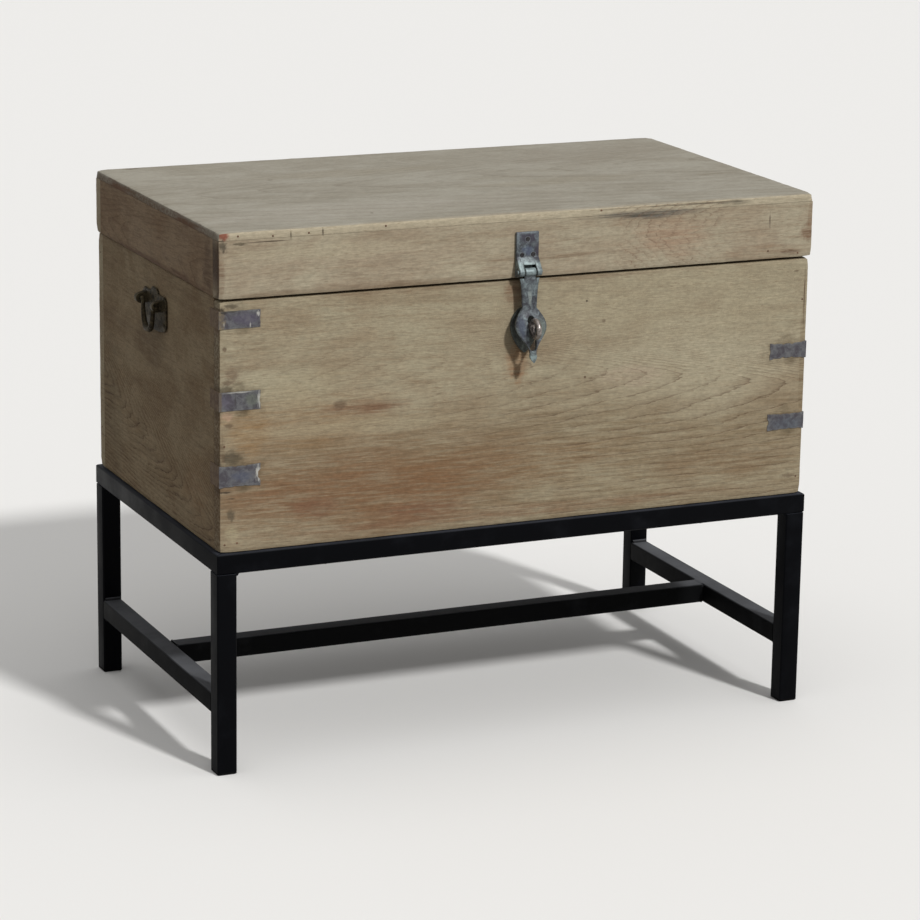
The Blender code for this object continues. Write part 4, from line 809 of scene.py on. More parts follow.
@dataclass
class Studio:
    """Camera, plain pale floor and soft light.

    Attributes:
        eye: Where the camera stands.
        forward: Where it looks.
        right: Which way is right in the picture.
        focal: The focal length in pixels of a square picture.
        picture: The picture's side in pixels.
        sensor: The camera's sensor width in millimetres.
        floor_reach: Half the floor's side.
        bounced: The floor's colour for the light that it throws back.
        seen: The floor's colour to the eye.
        lamps: Each lamp's name, the direction it comes from, its strength and its size in degrees.
        surround: How much of its white the surround gives off as light.
    """

    eye: tuple[float, float, float] = (-1.77188523, -3.97069885, 1.43942318)
    forward: tuple[float, float, float] = (0.39600729, 0.88298072, -0.25203824)
    right: tuple[float, float, float] = (0.91391312, -0.40563766, 0.01486292)
    focal: float = 3508.02
    picture: float = 920.0
    sensor: float = 36.0
    floor_reach: float = 30.0
    bounced: Light = (0.16, 0.15, 0.14)
    seen: Light = (0.80, 0.79, 0.77)
    lamps: tuple = (("key", (0.22, -0.73, 0.645), 2.35, 5.0), ("overhead", (0.05, -0.1, 1.0), 0.55, 60.0))
    surround: float = 0.42

    def camera(self) -> Object:
        """Set the camera at the photograph's place.

        Returns:
            The camera.
        """
        lens = bpy.data.cameras.new("camera")
        lens.sensor_width = self.sensor
        lens.lens = self.focal / self.picture * self.sensor
        lens.clip_end = 2 * self.floor_reach
        camera = bpy.data.objects.new("camera", lens)
        bpy.context.scene.collection.objects.link(camera)
        back = -Vector(self.forward).normalized()
        right = Vector(self.right)
        right = (right - back * right.dot(back)).normalized()
        up = back.cross(right)
        axes = Matrix((right, up, back)).transposed()
        camera.matrix_world = Matrix.Translation(self.eye) @ axes.to_4x4()
        bpy.context.scene.camera = camera
        return camera

    def floor(self) -> Object:
        """Lay the floor, pale to the eye, and darker as a source of bounced light.

        Returns:
            The floor.
        """
        bpy.ops.mesh.primitive_plane_add(size=2 * self.floor_reach, location=(0, 0, 0))
        floor = bpy.context.object
        floor.name = "floor"
        recipe = Recipe("pale_floor")
        rays = recipe.add("LightPath", {}).outputs
        share = recipe.sums("MAXIMUM", rays["Is Camera Ray"], rays["Is Glossy Ray"])
        share = recipe.sums("MAXIMUM", share, rays["Is Transmission Ray"])
        tone = recipe.blend(share, self.bounced, self.seen)
        floor.data.materials.append(recipe.finish(tone, 0.9, Specular_IOR_Level=0.1))
        return floor

    def light(self) -> None:
        """Key light from the upper right front, soft light from above, and a dim surround."""
        for name, direction, strength, angle in self.lamps:
            lamp = bpy.data.lights.new(name, "SUN")
            lamp.energy = strength
            lamp.angle = math.radians(angle)
            thing = bpy.data.objects.new(name, lamp)
            thing.rotation_mode = "QUATERNION"
            thing.rotation_quaternion = Vector(direction).to_track_quat("Z", "Y")
            bpy.context.scene.collection.objects.link(thing)
        world = bpy.data.worlds.new("surround")
        bpy.context.scene.world = world
        world.use_nodes = True
        tree = world.node_tree
        seen = tree.nodes.new("ShaderNodeLightPath")
        power = tree.nodes.new("ShaderNodeMapRange")
        power.inputs["To Min"].default_value = self.surround
        power.inputs["To Max"].default_value = 1.0
        tree.links.new(seen.outputs["Is Camera Ray"], power.inputs["Value"])
        tree.links.new(power.outputs[0], tree.nodes["Background"].inputs["Strength"])
        tree.nodes["Background"].inputs["Color"].default_value = (1.0, 1.0, 1.0, 1.0)


def body_of(node: str) -> Part:
    """Find the body that a CAD node belongs to."""
    bodies = frame["record"]["behaviour"]["bodies"]
    return next(part for part in Part if node in bodies[part.value])


def slot_of(node: str) -> str:
    """Find the record's material slot of a CAD node."""
    rows = frame["record"]["subparts"]
    return next(row["material_slot"] for row in rows if row["node"] == node)


class Element(Enum):
    """What can be selected in edit mode, with the name of its list in a mesh."""

    VERT = "vertices"
    EDGE = "edges"
    FACE = "polygons"


class Bench:
    """Hand tools for one piece at a time; those that select parts of it wait in edit mode for done."""

    @staticmethod
    def block(name: str, low: Sequence[float], high: Sequence[float]) -> Object:
        """Saw a block to size.

        Args:
            name: The piece's name.
            low: Its lowest corner.
            high: Its highest corner.

        Returns:
            The block, with its place in its mesh.
        """
        bpy.ops.object.select_all(action="DESELECT")
        centre = (Vector(low) + Vector(high)) / 2
        size = Vector(high) - Vector(low)
        bpy.ops.mesh.primitive_cube_add(size=1.0, location=centre, scale=size)
        return Bench.settle(name)

    @staticmethod
    def settle(name: str) -> Object:
        """Name the new primitive and put its place into its mesh.

        Args:
            name: The piece's name.

        Returns:
            The piece.
        """
        piece = bpy.context.object
        piece.name = piece.data.name = name
        bpy.ops.object.transform_apply(location=True, rotation=True, scale=True)
        return piece

    @staticmethod
    def pick(piece: Object) -> None:
        """Make the piece the only selected and active one.

        Args:
            piece: The piece.
        """
        bpy.ops.object.select_all(action="DESELECT")
        piece.select_set(True)
        bpy.context.view_layer.objects.active = piece

    @staticmethod
    def select(piece: Object, element: Element, chosen: Sequence[bool]) -> None:
        """Enter edit mode with some elements of the mesh selected.

        Args:
            piece: The piece.
            element: Which kind of element.
            chosen: Whether each one is selected.
        """
        Bench.pick(piece)
        bpy.ops.object.mode_set(mode="EDIT")
        bpy.ops.mesh.select_mode(type=element.name)
        bpy.ops.mesh.select_all(action="DESELECT")
        bpy.ops.object.mode_set(mode="OBJECT")
        getattr(piece.data, element.value).foreach_set("select", chosen)
        bpy.ops.object.mode_set(mode="EDIT")

    @staticmethod
    def edges(piece: Object, test: Callable[[Vector, Vector], bool]) -> None:
        """Select the edges whose two ends pass a test."""
        ends = ([piece.data.vertices[i].co.copy() for i in edge.vertices] for edge in piece.data.edges)
        Bench.select(piece, Element.EDGE, [test(first, second) for first, second in ends])

    @staticmethod
    def faces(piece: Object, test: Callable[[Vector, Vector], bool]) -> None:
        """Select the faces whose centre and normal pass a test."""
        chosen = [test(face.center.copy(), face.normal.copy()) for face in piece.data.polygons]
        Bench.select(piece, Element.FACE, chosen)

    @staticmethod
    def corners(piece: Object, test: Callable[[Vector], bool]) -> None:
        """Select the mesh's corners whose place passes a test."""
        Bench.select(piece, Element.VERT, [test(vert.co.copy()) for vert in piece.data.vertices])

    @staticmethod
    def whole(piece: Object) -> None:
        """Enter edit mode with everything selected.

        Args:
            piece: The piece.
        """
        Bench.pick(piece)
        bpy.ops.object.mode_set(mode="EDIT")
        bpy.ops.mesh.select_all(action="SELECT")

    @staticmethod
    def done() -> None:
        """Leave edit mode."""
        bpy.ops.object.mode_set(mode="OBJECT")

    @staticmethod
    def rows(piece: Object, axis: int, spacing: float) -> None:
        """Divide a block by cuts across one axis.

        Args:
            piece: The block.
            axis: The axis that the cuts divide.
            spacing: The distance between cuts.
        """
        cuts = max(1, round(piece.dimensions[axis] / spacing) - 1)

        def lies_along(first: Vector, second: Vector) -> bool:
            """Tell whether an edge runs along the axis."""
            run = second - first
            return abs(run[axis]) > MOSTLY * run.length

        Bench.edges(piece, lies_along)
        bpy.ops.mesh.subdivide(number_cuts=cuts)
        Bench.done()

    @staticmethod
    def apply(piece: Object, kind: str, **settings: object) -> None:
        """Add a modifier and apply it.

        Args:
            piece: The piece.
            kind: The modifier's type.
            settings: The modifier's settings.
        """
        Bench.pick(piece)
        change = piece.modifiers.new(kind.lower(), kind)
        for key, value in settings.items():
            setattr(change, key, value)
        bpy.ops.object.modifier_apply(modifier=change.name)

    @staticmethod
    def clouds(piece: Object, size: float, depth: int = 2, **settings: object) -> None:
        """Push the surface in or out by cloudy noise.

        Args:
            piece: The piece.
            size: The clouds' size.
            depth: Steps of finer noise.
            settings: The modifier's settings.
        """
        cloud = bpy.data.textures.new("clouds", "CLOUDS")
        cloud.noise_scale = size
        cloud.noise_depth = depth
        Bench.apply(piece, "DISPLACE", texture=cloud, texture_coords="LOCAL", **settings)

    @staticmethod
    def smooth(piece: Object, angle: float = 35.0) -> None:
        """Shade smooth up to an angle in degrees."""
        Bench.pick(piece)
        bpy.ops.object.shade_smooth_by_angle(angle=math.radians(angle))

    @staticmethod
    def mark_edges(piece: Object) -> None:
        """Note at each of the mesh's corners how far it stands out, for the wear on the metal.

        Args:
            piece: The piece.
        """
        mesh = piece.data
        spots = [vert.co.copy() for vert in mesh.vertices]
        outward = [vert.normal.copy() for vert in mesh.vertices]
        total = [0.0] * len(spots)
        count = [0] * len(spots)
        for edge in mesh.edges:
            for here, there in (edge.vertices, reversed(edge.vertices)):
                run = (spots[there] - spots[here]).normalized()
                total[here] -= run.dot(outward[here])
                count[here] += 1
        mark = mesh.attributes.new(EDGE_MARK, "FLOAT", "POINT")
        mark.data.foreach_set("value", [value / max(1, number) for value, number in zip(total, count)])

    @staticmethod
    def copy(piece: Object, name: str) -> Object:
        """Copy a piece with its own mesh.

        Args:
            piece: The model piece.
            name: The copy's name.

        Returns:
            The copy.
        """
        twin = piece.copy()
        twin.data = piece.data.copy()
        twin.name = twin.data.name = name
        bpy.context.scene.collection.objects.link(twin)
        return twin

    @staticmethod
    def install(piece: Object, finish: Material, body: Part, slot: str, *nodes: str) -> None:
        """Dress a piece and let it ride with its body.

        Args:
            piece: The finished piece.
            finish: Its material.
            body: The body it rides on.
            slot: The record's material slot; not used.
            nodes: The CAD nodes that it stands for.
        """
        piece.data.materials.clear()
        piece.data.materials.append(finish)
        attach(piece, body.value)
        if nodes:
            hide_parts(*nodes)
        LOG.info("%s: %d faces", piece.name, len(piece.data.polygons))


@dataclass
class Board:
    """One plank with worn edges.

    Attributes:
        node: The CAD node that it replaces.
        crisp: Sides, as (axis, direction), whose edges stay sharp because they meet a neighbour.
        wear: How deep the edges are worn.
        reach: How far from the edge the wear goes.
        bevel: The width of the softened edge.
        spacing: The distance between the mesh's rows.
        knock: How much deeper the free corners are knocked in, as a share of the wear.
        eaten: How much deeper than the wear the noise eats at most.
        clouds: The noise's sizes, each with its share of the wear.
        sharp: Up to which angle the plank is shaded smooth, in degrees.
    """

    node: str
    crisp: tuple[tuple[int, int], ...] = ()
    wear: float = 0.0022
    reach: float = 0.005
    bevel: float = 0.0016
    spacing: float = 0.0055
    knock: float = 1.6
    eaten: float = 1.1
    clouds: tuple[tuple[float, float], ...] = ((0.016, 0.65), (0.0045, 0.35))
    sharp: float = 32.0

    def build(self) -> Object:
        """Saw the plank, divide it, and wear its edges down.

        Returns:
            The finished piece.
        """
        low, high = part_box(self.node)
        plank = Bench.block("teak_" + self.node, low, high)
        for axis in range(3):
            Bench.rows(plank, axis, self.spacing)
        corners = self.worn_edges(low, high)
        tiny = self.spacing / 100

        def on_corner(first: Vector, second: Vector) -> bool:
            """Tell whether a mesh's edge lies on one of the worn edges."""
            return any(
                all(abs(spot[axis] - level) < tiny for spot in (first, second) for axis, level in corner)
                for corner in corners
            )

        Bench.edges(plank, on_corner)
        bpy.ops.mesh.bevel(offset=self.bevel, segments=2, profile=0.6)
        Bench.done()
        self.wear_down(plank, corners)
        return plank

    def worn_edges(self, low: Vector, high: Vector) -> list[Levels]:
        """List the plank's edges that are worn, each as its two levels.

        Args:
            low: The plank's lowest corner.
            high: Its highest corner.

        Returns:
            Pairs of (axis, level).
        """
        sides = [(axis, way) for axis in range(3) for way in (-1, 1) if (axis, way) not in self.crisp]
        levels = [(axis, (low if way < 0 else high)[axis]) for axis, way in sides]
        return [pair for pair in itertools.combinations(levels, 2) if pair[0][0] != pair[1][0]]

    def tips(self) -> list[Vector]:
        """List the plank's corners that no neighbour covers.

        Returns:
            Their places.
        """
        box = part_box(self.node)
        return [
            Vector([box[side][axis] for axis, side in enumerate(sides)])
            for sides in itertools.product((0, 1), repeat=3)
            if not any((axis, 2 * side - 1) in self.crisp for axis, side in enumerate(sides))
        ]

    @staticmethod
    def weigh(plank: Object, name: str, reach: float, distance: Callable[[Vector], float]) -> None:
        """Make a vertex group that fades out with distance.

        Args:
            plank: The plank.
            name: The group's name.
            reach: Where the group ends.
            distance: Takes a place and tells how far away it is.
        """
        group = plank.vertex_groups.new(name=name)
        for vert in plank.data.vertices:
            away = distance(vert.co)
            if away < reach:
                group.add([vert.index], 1.0 - away / reach, "REPLACE")

    def wear_down(self, plank: Object, corners: Sequence[Levels]) -> None:
        """Knock the free corners in and let noise eat the worn edges.

        Args:
            plank: The plank.
            corners: Its worn edges.
        """
        tips = self.tips()
        self.weigh(plank, "worn", self.reach, lambda spot: min(
            math.hypot(*(spot[axis] - level for axis, level in corner)) for corner in corners))
        self.weigh(plank, "knocked", 2 * self.reach, lambda spot: min(
            ((spot - tip).length for tip in tips), default=math.inf))
        Bench.apply(plank, "DISPLACE", vertex_group="knocked", strength=-self.knock * self.wear,
                    mid_level=0.0)
        for size, share in self.clouds:
            Bench.clouds(plank, size, 1, vertex_group="worn", mid_level=0.0,
                         strength=-self.eaten * self.wear * share)
        Bench.pick(plank)
        plank.vertex_groups.clear()
        Bench.smooth(plank, self.sharp)


@dataclass
class Nail:
    """A rusty nail head in a board.

    Attributes:
        width: The head's width.
        length: How much of the nail is modelled.
        rise: How far it stands out of the wood.
        rim: The width of its softened rim.
        sides: The head's sides.
    """

    width: float = 0.0027
    length: float = 0.003
    rise: float = 0.0002
    rim: float = 0.0005
    sides: int = 10

    def drive(self, name: str, spots: Iterable[Vector], out: Vector) -> list[Object]:
        """Make one nail and copy it to each place.

        Args:
            name: The start of the nails' names.
            spots: Places on the board's face.
            out: The way that the heads look.

        Returns:
            The nails.
        """
        bpy.ops.object.select_all(action="DESELECT")
        bpy.ops.mesh.primitive_cylinder_add(vertices=self.sides, radius=self.width / 2, depth=self.length)
        model = Bench.settle("nail_model")
        Bench.apply(model, "BEVEL", width=self.rim, segments=2, limit_method="ANGLE")
        turn = out.to_track_quat("Z", "Y").to_matrix().to_4x4()
        nails = []
        for number, spot in enumerate(spots):
            nail = Bench.copy(model, "%s_%02d" % (name, number))
            sunk = spot + out * (self.rise - self.length / 2)
            nail.matrix_world = Matrix.Translation(sunk) @ turn
            Bench.pick(nail)
            bpy.ops.object.transform_apply(location=True, rotation=True, scale=True)
            Bench.smooth(nail)
            nails.append(nail)
        bpy.data.objects.remove(model)
        return nails


@dataclass
class ScrewRim:
    """The bright rim that a screw's head has rubbed round its hole in the hasp's plate.

    Attributes:
        node: The screw's CAD node.
        reach: From the screw's middle to the middle of the rim.
        bead: Half the rim's thickness.
        flat: How much of its thickness the rim keeps.
        depth: How deep its middle lies under the screw's face.
        steps: Its steps around the screw and round its own thickness.
    """

    node: str
    reach: float = 0.0036
    bead: float = 0.00055
    flat: float = 0.6
    depth: float = 0.0003
    steps: tuple[int, int] = (28, 8)

    def build(self) -> Object:
        """Turn the rim round the screw and flatten it.

        Returns:
            The finished piece.
        """
        low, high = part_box(self.node)
        middle = (low + high) / 2
        place = (middle.x, low.y + self.depth, middle.z)
        bpy.ops.object.select_all(action="DESELECT")
        bpy.ops.mesh.primitive_torus_add(
            location=place, rotation=(math.pi / 2, 0, 0), major_segments=self.steps[0],
            minor_segments=self.steps[1], major_radius=self.reach, minor_radius=self.bead,
        )
        rim = Bench.settle("rim_" + self.node)
        Bench.whole(rim)
        bpy.ops.transform.resize(value=(1, self.flat, 1), center_override=place)
        Bench.done()
        Bench.smooth(rim, 60)
        Bench.mark_edges(rim)
        return rim


class Cut(Enum):
    """How a strap was cut: its width at the tail, the waist and the corner, as shares."""

    PLAIN = (1.0, 0.98, 1.0)
    NOTCHED = (1.04, 0.94, 1.0)
    WAISTED = (0.98, 0.84, 1.04)
    SWALLOW = (1.03, 0.92, 0.97)


@dataclass
class CornerStrap:
    """A sheet metal strap folded round a front corner; the nails that hold it flat are not modelled.

    Attributes:
        node: The CAD node that it replaces.
        cut: The outline of its front part.
        notch: How deep the tail is notched.
        notch_half: Half the notch's width.
        crumple: How uneven the sheet is.
        dent: The size of its dents.
        sunk: The share of the dents that goes inwards.
        end: The corner's distance from the middle.
        face: The front board's face.
        run: The strap's length on the front.
        wrap: Its length on the end.
        sheet: The sheet's thickness.
        proud: How far it stands out of the board.
        step: The distance between the mesh's rows.
        waist_power: How blunt the waist is; 1 is a plain curve.
        corner_edge: How far from the corner the trimmed front begins.
        same_row: How far apart the corners of one row of the mesh may lie.
        grime_edge: How far behind the front, and how near the end's face, the grime begins.
    """

    node: str
    cut: Cut
    notch: float = 0.002
    notch_half: float = 0.004
    crumple: float = 0.0005
    dent: float = 0.007
    sunk: float = 0.2
    end: float = CORNER
    face: float = BODY_FACE
    run: float = 0.051
    wrap: float = 0.030
    sheet: float = 0.0010
    proud: float = 0.0006
    step: float = 0.0032
    waist_power: float = 0.8
    corner_edge: float = 0.001
    same_row: float = 0.00002
    grime_edge: float = 0.0004

    def build(self) -> Object:
        """Cut, fold, trim and crumple the strap.

        Returns:
            The finished piece.
        """
        low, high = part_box(self.node)
        outer = -self.end - self.proud
        front = self.face - self.proud
        tail = self.run - self.end
        fold = outer + self.sheet
        name = self.node.replace("corner_", "")
        strap = Bench.block(name, (outer, front, low.z), (tail, front + self.sheet, high.z))
        Bench.whole(strap)
        bpy.ops.mesh.bisect(plane_co=(fold, 0, 0), plane_no=(1, 0, 0))
        Bench.done()
        Bench.faces(strap, lambda spot, normal: normal.y > MOSTLY and spot.x < fold)
        bpy.ops.mesh.extrude_region_move(TRANSFORM_OT_translate={"value": (0, self.wrap, 0)})
        Bench.done()
        for axis in range(3):
            Bench.rows(strap, axis, self.step)
        self.trim(strap, (low.z + high.z) / 2)
        Bench.clouds(strap, self.dent, strength=self.crumple, mid_level=self.sunk)
        if low.x > 0:
            Bench.whole(strap)
            bpy.ops.transform.mirror(constraint_axis=(True, False, False), center_override=(0, 0, 0))
            bpy.ops.mesh.normals_make_consistent(inside=False)
            Bench.done()
        Bench.smooth(strap, 40)
        Bench.mark_edges(strap)
        return strap

    def trim(self, strap: Object, middle: float) -> None:
        """Cut the strap's outline on the front, row by row.

        Args:
            strap: The folded sheet.
            middle: The strap's height.
        """
        tail, waist, corner = self.cut.value
        front = [vert.co.x for vert in strap.data.vertices if vert.co.x > -self.end + self.corner_edge]
        for level in sorted({round(x, 5) for x in front}):
            share = (level + self.end) / self.run
            near = corner if share < 0.5 else tail
            width = near + (waist - near) * math.sin(math.pi * share) ** self.waist_power
            Bench.corners(strap, lambda spot, x=level: abs(spot.x - x) < self.same_row)
            bpy.ops.transform.resize(value=(1, 1, width), center_override=(level, self.face, middle))
            Bench.done()
        end = self.run - self.end - TINY
        Bench.corners(strap, lambda spot: spot.x > end and abs(spot.z - middle) < self.notch_half)
        bpy.ops.transform.translate(value=(-self.notch, 0, 0))
        Bench.done()

    def soil(self, strap: Object, grimy: Material) -> None:
        """Lay grime on the strap where it lies on the end board.

        Args:
            strap: The strap.
            grimy: The metal under old dirt.
        """
        strap.data.materials.append(grimy)
        for face in strap.data.polygons:
            spot = face.center
            if abs(spot.x) > self.end - self.grime_edge and spot.y > self.face + self.grime_edge:
                face.material_index = 1


@dataclass
class Restored:
    """A metal piece whose shape the CAD node has, with its hard edges softened.

    Attributes:
        node: The CAD node.
        soft: The width of the softened edges.
        segments: The steps in the softened edges.
        weld: How near two of the node's corners are to be one.
        flat: Up to which angle faces are merged, in degrees.
        hard: From which angle an edge is softened, in degrees.
    """

    node: str
    soft: float
    segments: int = 2
    weld: float = 0.00001
    flat: float = 1.0
    hard: float = 40.0

    def build(self) -> Object:
        """Merge a copy of the node and soften its edges.

        Returns:
            The finished piece.
        """
        piece = Bench.copy(frame["nodes"][self.node], "worn_" + self.node)
        Bench.whole(piece)
        bpy.ops.mesh.remove_doubles(threshold=self.weld)
        bpy.ops.mesh.dissolve_limited(angle_limit=math.radians(self.flat))
        bpy.ops.mesh.normals_make_consistent(inside=False)
        Bench.done()
        Bench.apply(piece, "BEVEL", width=self.soft, segments=self.segments, limit_method="ANGLE",
                    angle_limit=math.radians(self.hard))
        Bench.smooth(piece, self.hard)
        Bench.mark_edges(piece)
        return piece


@dataclass(frozen=True)
class Metal:
    """Metal pieces that are softened and dressed alike.

    Attributes:
        soft: The width of their softened edges.
        finish: Their finish.
        starts: How their nodes' names start.
    """

    soft: float
    finish: Finish
    starts: tuple[str, ...]


@dataclass
class Assembly:
    """A sub-assembly's pieces on their way from the bench to the model.

    Attributes:
        metals: Its metal pieces that keep the CAD node's shape.
        pieces: The finished piece for each CAD node.
    """

    metals: tuple[Metal, ...] = ()
    pieces: dict[str, Object] = field(default_factory=dict, init=False)

    def build(self) -> None:
        """Restore the metal pieces, those with equally soft edges together."""
        for soft, metals in itertools.groupby(self.metals, lambda metal: metal.soft):
            starts = tuple(start for metal in metals for start in metal.starts)
            for node in sorted(name for name in frame["nodes"] if name.startswith(starts)):
                self.pieces[node] = Restored(node, soft).build()

    def dress(self, palette: Palette) -> None:
        """Give the metal pieces their finishes."""
        for metal in self.metals:
            self.fit(palette[metal.finish], *metal.starts)

    def saw(self, *boards: Board) -> None:
        """Build boards."""
        for board in boards:
            self.pieces[board.node] = board.build()

    def fit(self, finish: Material, *starts: str) -> None:
        """Dress the pieces whose nodes' names start in one of these ways.

        Args:
            finish: Their material.
            starts: How the nodes' names start.
        """
        for node, piece in self.pieces.items():
            if node.startswith(starts):
                Bench.install(piece, finish, body_of(node), slot_of(node), node)


@dataclass
class Woodwork(Assembly):
    """Boards with nails in them.

    Attributes:
        nail: The nails' sizes.
        nails: The finished nails.
    """

    nail: Nail = field(default_factory=Nail)
    nails: list[Object] = field(default_factory=list, init=False)

    def dress_nails(self, palette: Palette, body: Part) -> None:
        """Give the nails their rust, and let them ride with the boards."""
        for nail in self.nails:
            Bench.install(nail, palette[Finish.RUST], body, "old_iron")


@dataclass
class Chest(Woodwork):
    """The trunk's body: four walls and a floor, with a few nails.

    Attributes:
        wear: How deep the front's and back's edges are worn.
        end_wear: How deep the end boards' edges are worn.
        floor_rows: The distance between the floor's rows.
        front_spots: Nails in the front, as (x, z).
        end_spots: Nails in each end, as (y, z).
    """

    wear: float = 0.0009
    end_wear: float = 0.0008
    floor_rows: float = 0.02
    front_spots: Spots = (
        (-0.3871, 0.4081), (-0.3713, 0.2886), (-0.3870, 0.2875), (0.386, 0.30), (0.3855, 0.53))
    end_spots: Spots = (
        (-0.194, 0.55), (-0.194, 0.36), (0.236, 0.33), (0.236, 0.45), (0.236, 0.56))

    def build(self) -> None:
        """Saw the boards and drive the nails."""
        self.saw(
            Board("front_board", (BACK,), self.wear),
            Board("back_board", (FRONT,), self.wear),
            Board("left_end_board", (RIGHT, FRONT, BACK), self.end_wear),
            Board("right_end_board", (LEFT, FRONT, BACK), self.end_wear),
            Board("bottom_board", (), self.wear / 3, spacing=self.floor_rows),
        )
        front = [Vector((x, BODY_FACE, z)) for x, z in self.front_spots]
        self.nails = self.nail.drive("front_nail", front, Vector((0, -1, 0)))
        for side, name in ((-1, "left_nail"), (1, "right_nail")):
            spots = [Vector((side * CORNER, y, z)) for y, z in self.end_spots]
            self.nails += self.nail.drive(name, spots, Vector((side, 0, 0)))

    def dress(self, palette: Palette) -> None:
        """Give each board its wood, and the nails their rust.

        Args:
            palette: The finished materials.
        """
        self.fit(palette[Finish.FRONT], "front")
        self.fit(palette[Finish.BACK], "back")
        self.fit(palette[Finish.END], "left", "right")
        self.fit(palette[Finish.LID_TOP], "bottom")
        self.dress_nails(palette, Part.TRUNK)


@dataclass
class Lid(Woodwork):
    """A top board on four rails, with the nails that hold it.

    Attributes:
        face: The front rail's face.
        wear: How deep the rails' edges are worn.
        front_wear: How deep the front rail's edges are worn.
        top_wear: How deep the top board's edges are worn.
        top_reach: How far in from the edge that wear goes.
        top_round: The width of the top board's softened edges.
        top_knock: How much deeper the top board's corners are knocked in.
        edge_turn: How much a face of the top board looks forward to count as its front edge.
        spots: Nails in the front, as (x, z).
    """

    face: float = -0.20575
    wear: float = 0.0010
    front_wear: float = 0.0008
    top_wear: float = 0.0017
    top_reach: float = 0.0055
    top_round: float = 0.0028
    top_knock: float = 1.1
    edge_turn: float = 0.6
    spots: Spots = (
        (-0.3704, 0.6596), (-0.3269, 0.6573), (-0.2818, 0.6582), (-0.184, 0.6602), (0.3752, 0.5905),
        (0.3328, 0.5955), (0.1, 0.6612))

    def build(self) -> None:
        """Saw the boards and drive the nails."""
        self.saw(
            Board("lid_front_rail", (BACK, UP), self.front_wear),
            Board("lid_back_rail", (FRONT, UP), self.wear),
            Board("lid_left_rail", (RIGHT, FRONT, BACK, UP), self.wear),
            Board("lid_right_rail", (LEFT, FRONT, BACK, UP), self.wear),
            Board("lid_top_board", (DOWN,), self.top_wear, self.top_reach, self.top_round,
                  knock=self.top_knock),
        )
        places = [Vector((x, self.face, z)) for x, z in self.spots]
        self.nails = self.nail.drive("lid_nail", places, Vector((0, -1, 0)))

    def dress(self, palette: Palette) -> None:
        """Give each board its wood, and the nails their rust.

        Args:
            palette: The finished materials.
        """
        self.fit(palette[Finish.LID_FRONT], "lid_front", "lid_back")
        self.fit(palette[Finish.LID_END], "lid_left", "lid_right")
        self.fit(palette[Finish.LID_TOP], "lid_top")
        self.dress_edge(palette[Finish.LID_FRONT])
        self.dress_nails(palette, Part.LID)

    def dress_edge(self, finish: Material) -> None:
        """Let the front rail's wood run on over the top board's front edge.

        Args:
            finish: The front rail's material.
        """
        board = self.pieces["lid_top_board"]
        board.data.materials.append(finish)
        for face in board.data.polygons:
            if face.normal.y < -self.edge_turn:
                face.material_index = 1


@dataclass
class CornerStraps(Assembly):
    """Three straps on the left front corner and two on the right one, each cut by hand.

    Attributes:
        straps: Their cuts.
    """

    straps: tuple[CornerStrap, ...] = (
        CornerStrap("corner_strap_left_upper", Cut.PLAIN, notch=0.0005),
        CornerStrap("corner_strap_left_middle", Cut.PLAIN, notch=0.001),
        CornerStrap("corner_strap_left_lower", Cut.NOTCHED, notch=0.003),
        CornerStrap("corner_strap_right_middle", Cut.WAISTED, notch=0.001),
        CornerStrap("corner_strap_right_lower", Cut.SWALLOW, notch=0.0018),
    )

    def build(self) -> None:
        """Cut and fold the straps."""
        for strap in self.straps:
            self.pieces[strap.node] = strap.build()

    def dress(self, palette: Palette) -> None:
        """Give the straps their zinc.

        Args:
            palette: The finished materials.
        """
        self.fit(palette[Finish.ZINC], "corner_strap")
        for strap in self.straps:
            strap.soil(self.pieces[strap.node], palette[Finish.GRIMY_ZINC])


@dataclass
class Hinges(Assembly):
    """Two butt hinges let into the back, with their pins."""

    metals: tuple[Metal, ...] = (Metal(0.0005, Finish.DULL_BRASS, ("hinge",)),)


@dataclass
class Hasp(Assembly):
    """The hasp's plate, pin and arm, with the plate's screws and their bright rims.

    Attributes:
        rims: The finished rims.
    """

    metals: tuple[Metal, ...] = (
        Metal(0.0008, Finish.BRASS, ("hasp_plate", "hasp_pin", "hasp_arm")),
        Metal(SCREW_SOFT, Finish.IRON, ("hasp_screw",)),
    )
    rims: list[Object] = field(default_factory=list, init=False)

    def build(self) -> None:
        """Restore the metal pieces and turn the rims."""
        super().build()
        self.rims = [ScrewRim(node).build() for node in self.pieces if node.startswith("hasp_screw")]

    def dress(self, palette: Palette) -> None:
        """Dress the metal pieces, and give the rims a bright rub.

        Args:
            palette: The finished materials.
        """
        super().dress(palette)
        for rim in self.rims:
            Bench.install(rim, palette[Finish.BRIGHT_RIM], Part.LID, "aged_brass")


@dataclass
class Staple(Assembly):
    """The staple's plate, its rubbed eye, the rove behind the board and two screws."""

    metals: tuple[Metal, ...] = (
        Metal(0.0005, Finish.DULL_BRASS, ("staple_plate",)),
        Metal(0.0004, Finish.EYE, ("staple_eye",)),
        Metal(SCREW_SOFT, Finish.IRON, ("staple_screw", "staple_rove")),
    )


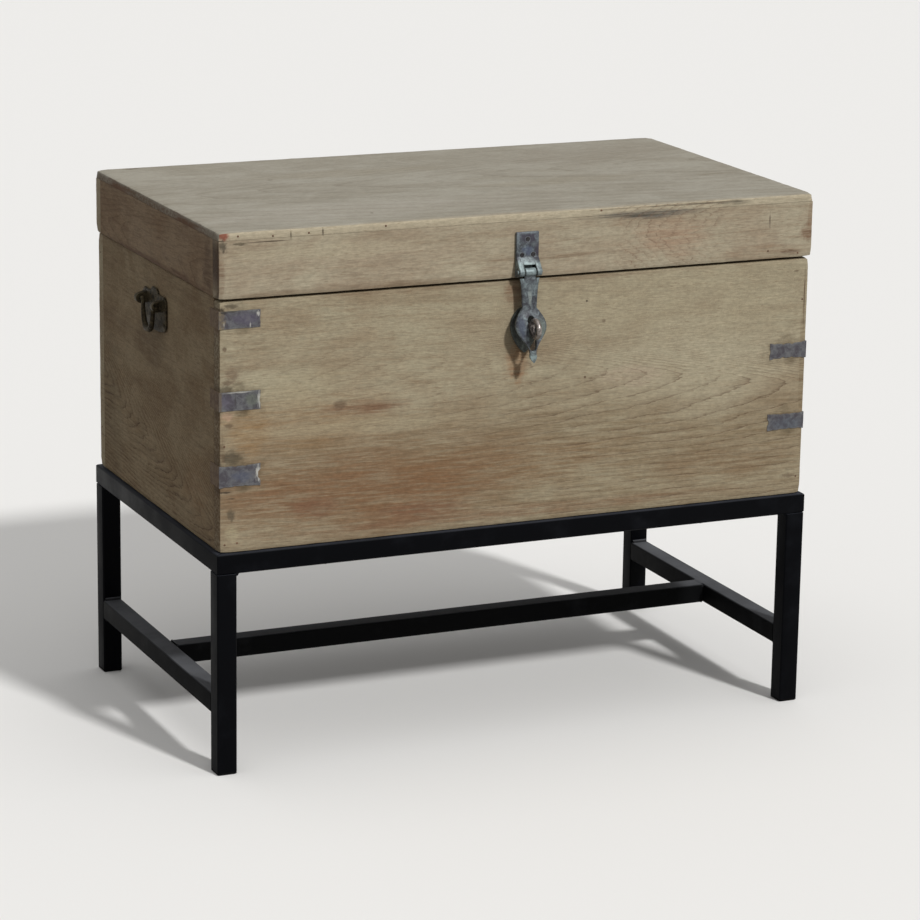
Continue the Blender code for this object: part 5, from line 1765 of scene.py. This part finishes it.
@dataclass
class Handles(Assembly):
    """A plate with a drop bail on each end."""

    metals: tuple[Metal, ...] = (Metal(0.0006, Finish.BRONZE, ("handle",)),)


@dataclass
class Stand(Assembly):
    """The welded stand, its stretchers scuffed, dusty and painted lighter for bounced light and sheen,
    with foot plugs and the screws into the trunk.

    Attributes:
        tube: The width of the long stretcher's tube.
        bead_share: How much of their rise the weld beads keep on the long stretcher.
    """

    metals: tuple[Metal, ...] = (
        Metal(SCREW_SOFT, Finish.IRON, ("stand_screw",)),
        Metal(0.0005, Finish.PAINT,
              ("stand_leg", "stand_front", "stand_back", "stand_left_rail", "stand_right_rail")),
        Metal(0.0005, Finish.SCUFFED, ("stand_left_stretcher", "stand_right_stretcher", "stand_long")),
        Metal(0.0003, Finish.PLASTIC, ("foot_plug",)),
    )
    tube: float = 0.025
    bead_share: float = 0.3

    def build(self) -> None:
        """Restore the tubes, plugs and screws."""
        super().build()
        self.grind_beads("stand_long_stretcher")

    def grind_beads(self, node: str) -> None:
        """Grind a level tube's weld beads down towards its four faces.

        Args:
            node: The tube's CAD node.
        """
        low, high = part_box(node)
        middle = (low + high) / 2
        for axis, way in itertools.product((1, 2), (-1, 1)):
            level = middle[axis] + way * self.tube / 2

            def stands_off(spot: Vector, axis: int = axis, way: int = way, level: float = level) -> bool:
                """Tell whether a corner of the mesh stands out of this face."""
                return way * (spot[axis] - level) > TINY

            centre = Vector(middle)
            centre[axis] = level
            share = [self.bead_share if turn == axis else 1.0 for turn in range(3)]
            Bench.corners(self.pieces[node], stands_off)
            bpy.ops.transform.resize(value=share, center_override=centre)
            Bench.done()


def main() -> None:
    """Build the scene in order."""
    logging.basicConfig(level=logging.INFO, format="%(message)s")
    bpy.context.scene.view_settings.view_transform = "Standard"
    studio = Studio()
    studio.camera()
    studio.floor()
    studio.light()
    palette = {finish: finish.value.material() for finish in Finish}
    for assembly in (Chest(), Lid(), CornerStraps(), Hinges(), Hasp(), Staple(), Handles(), Stand()):
        assembly.build()
        assembly.dress(palette)


if __name__ == "__main__":
    main()
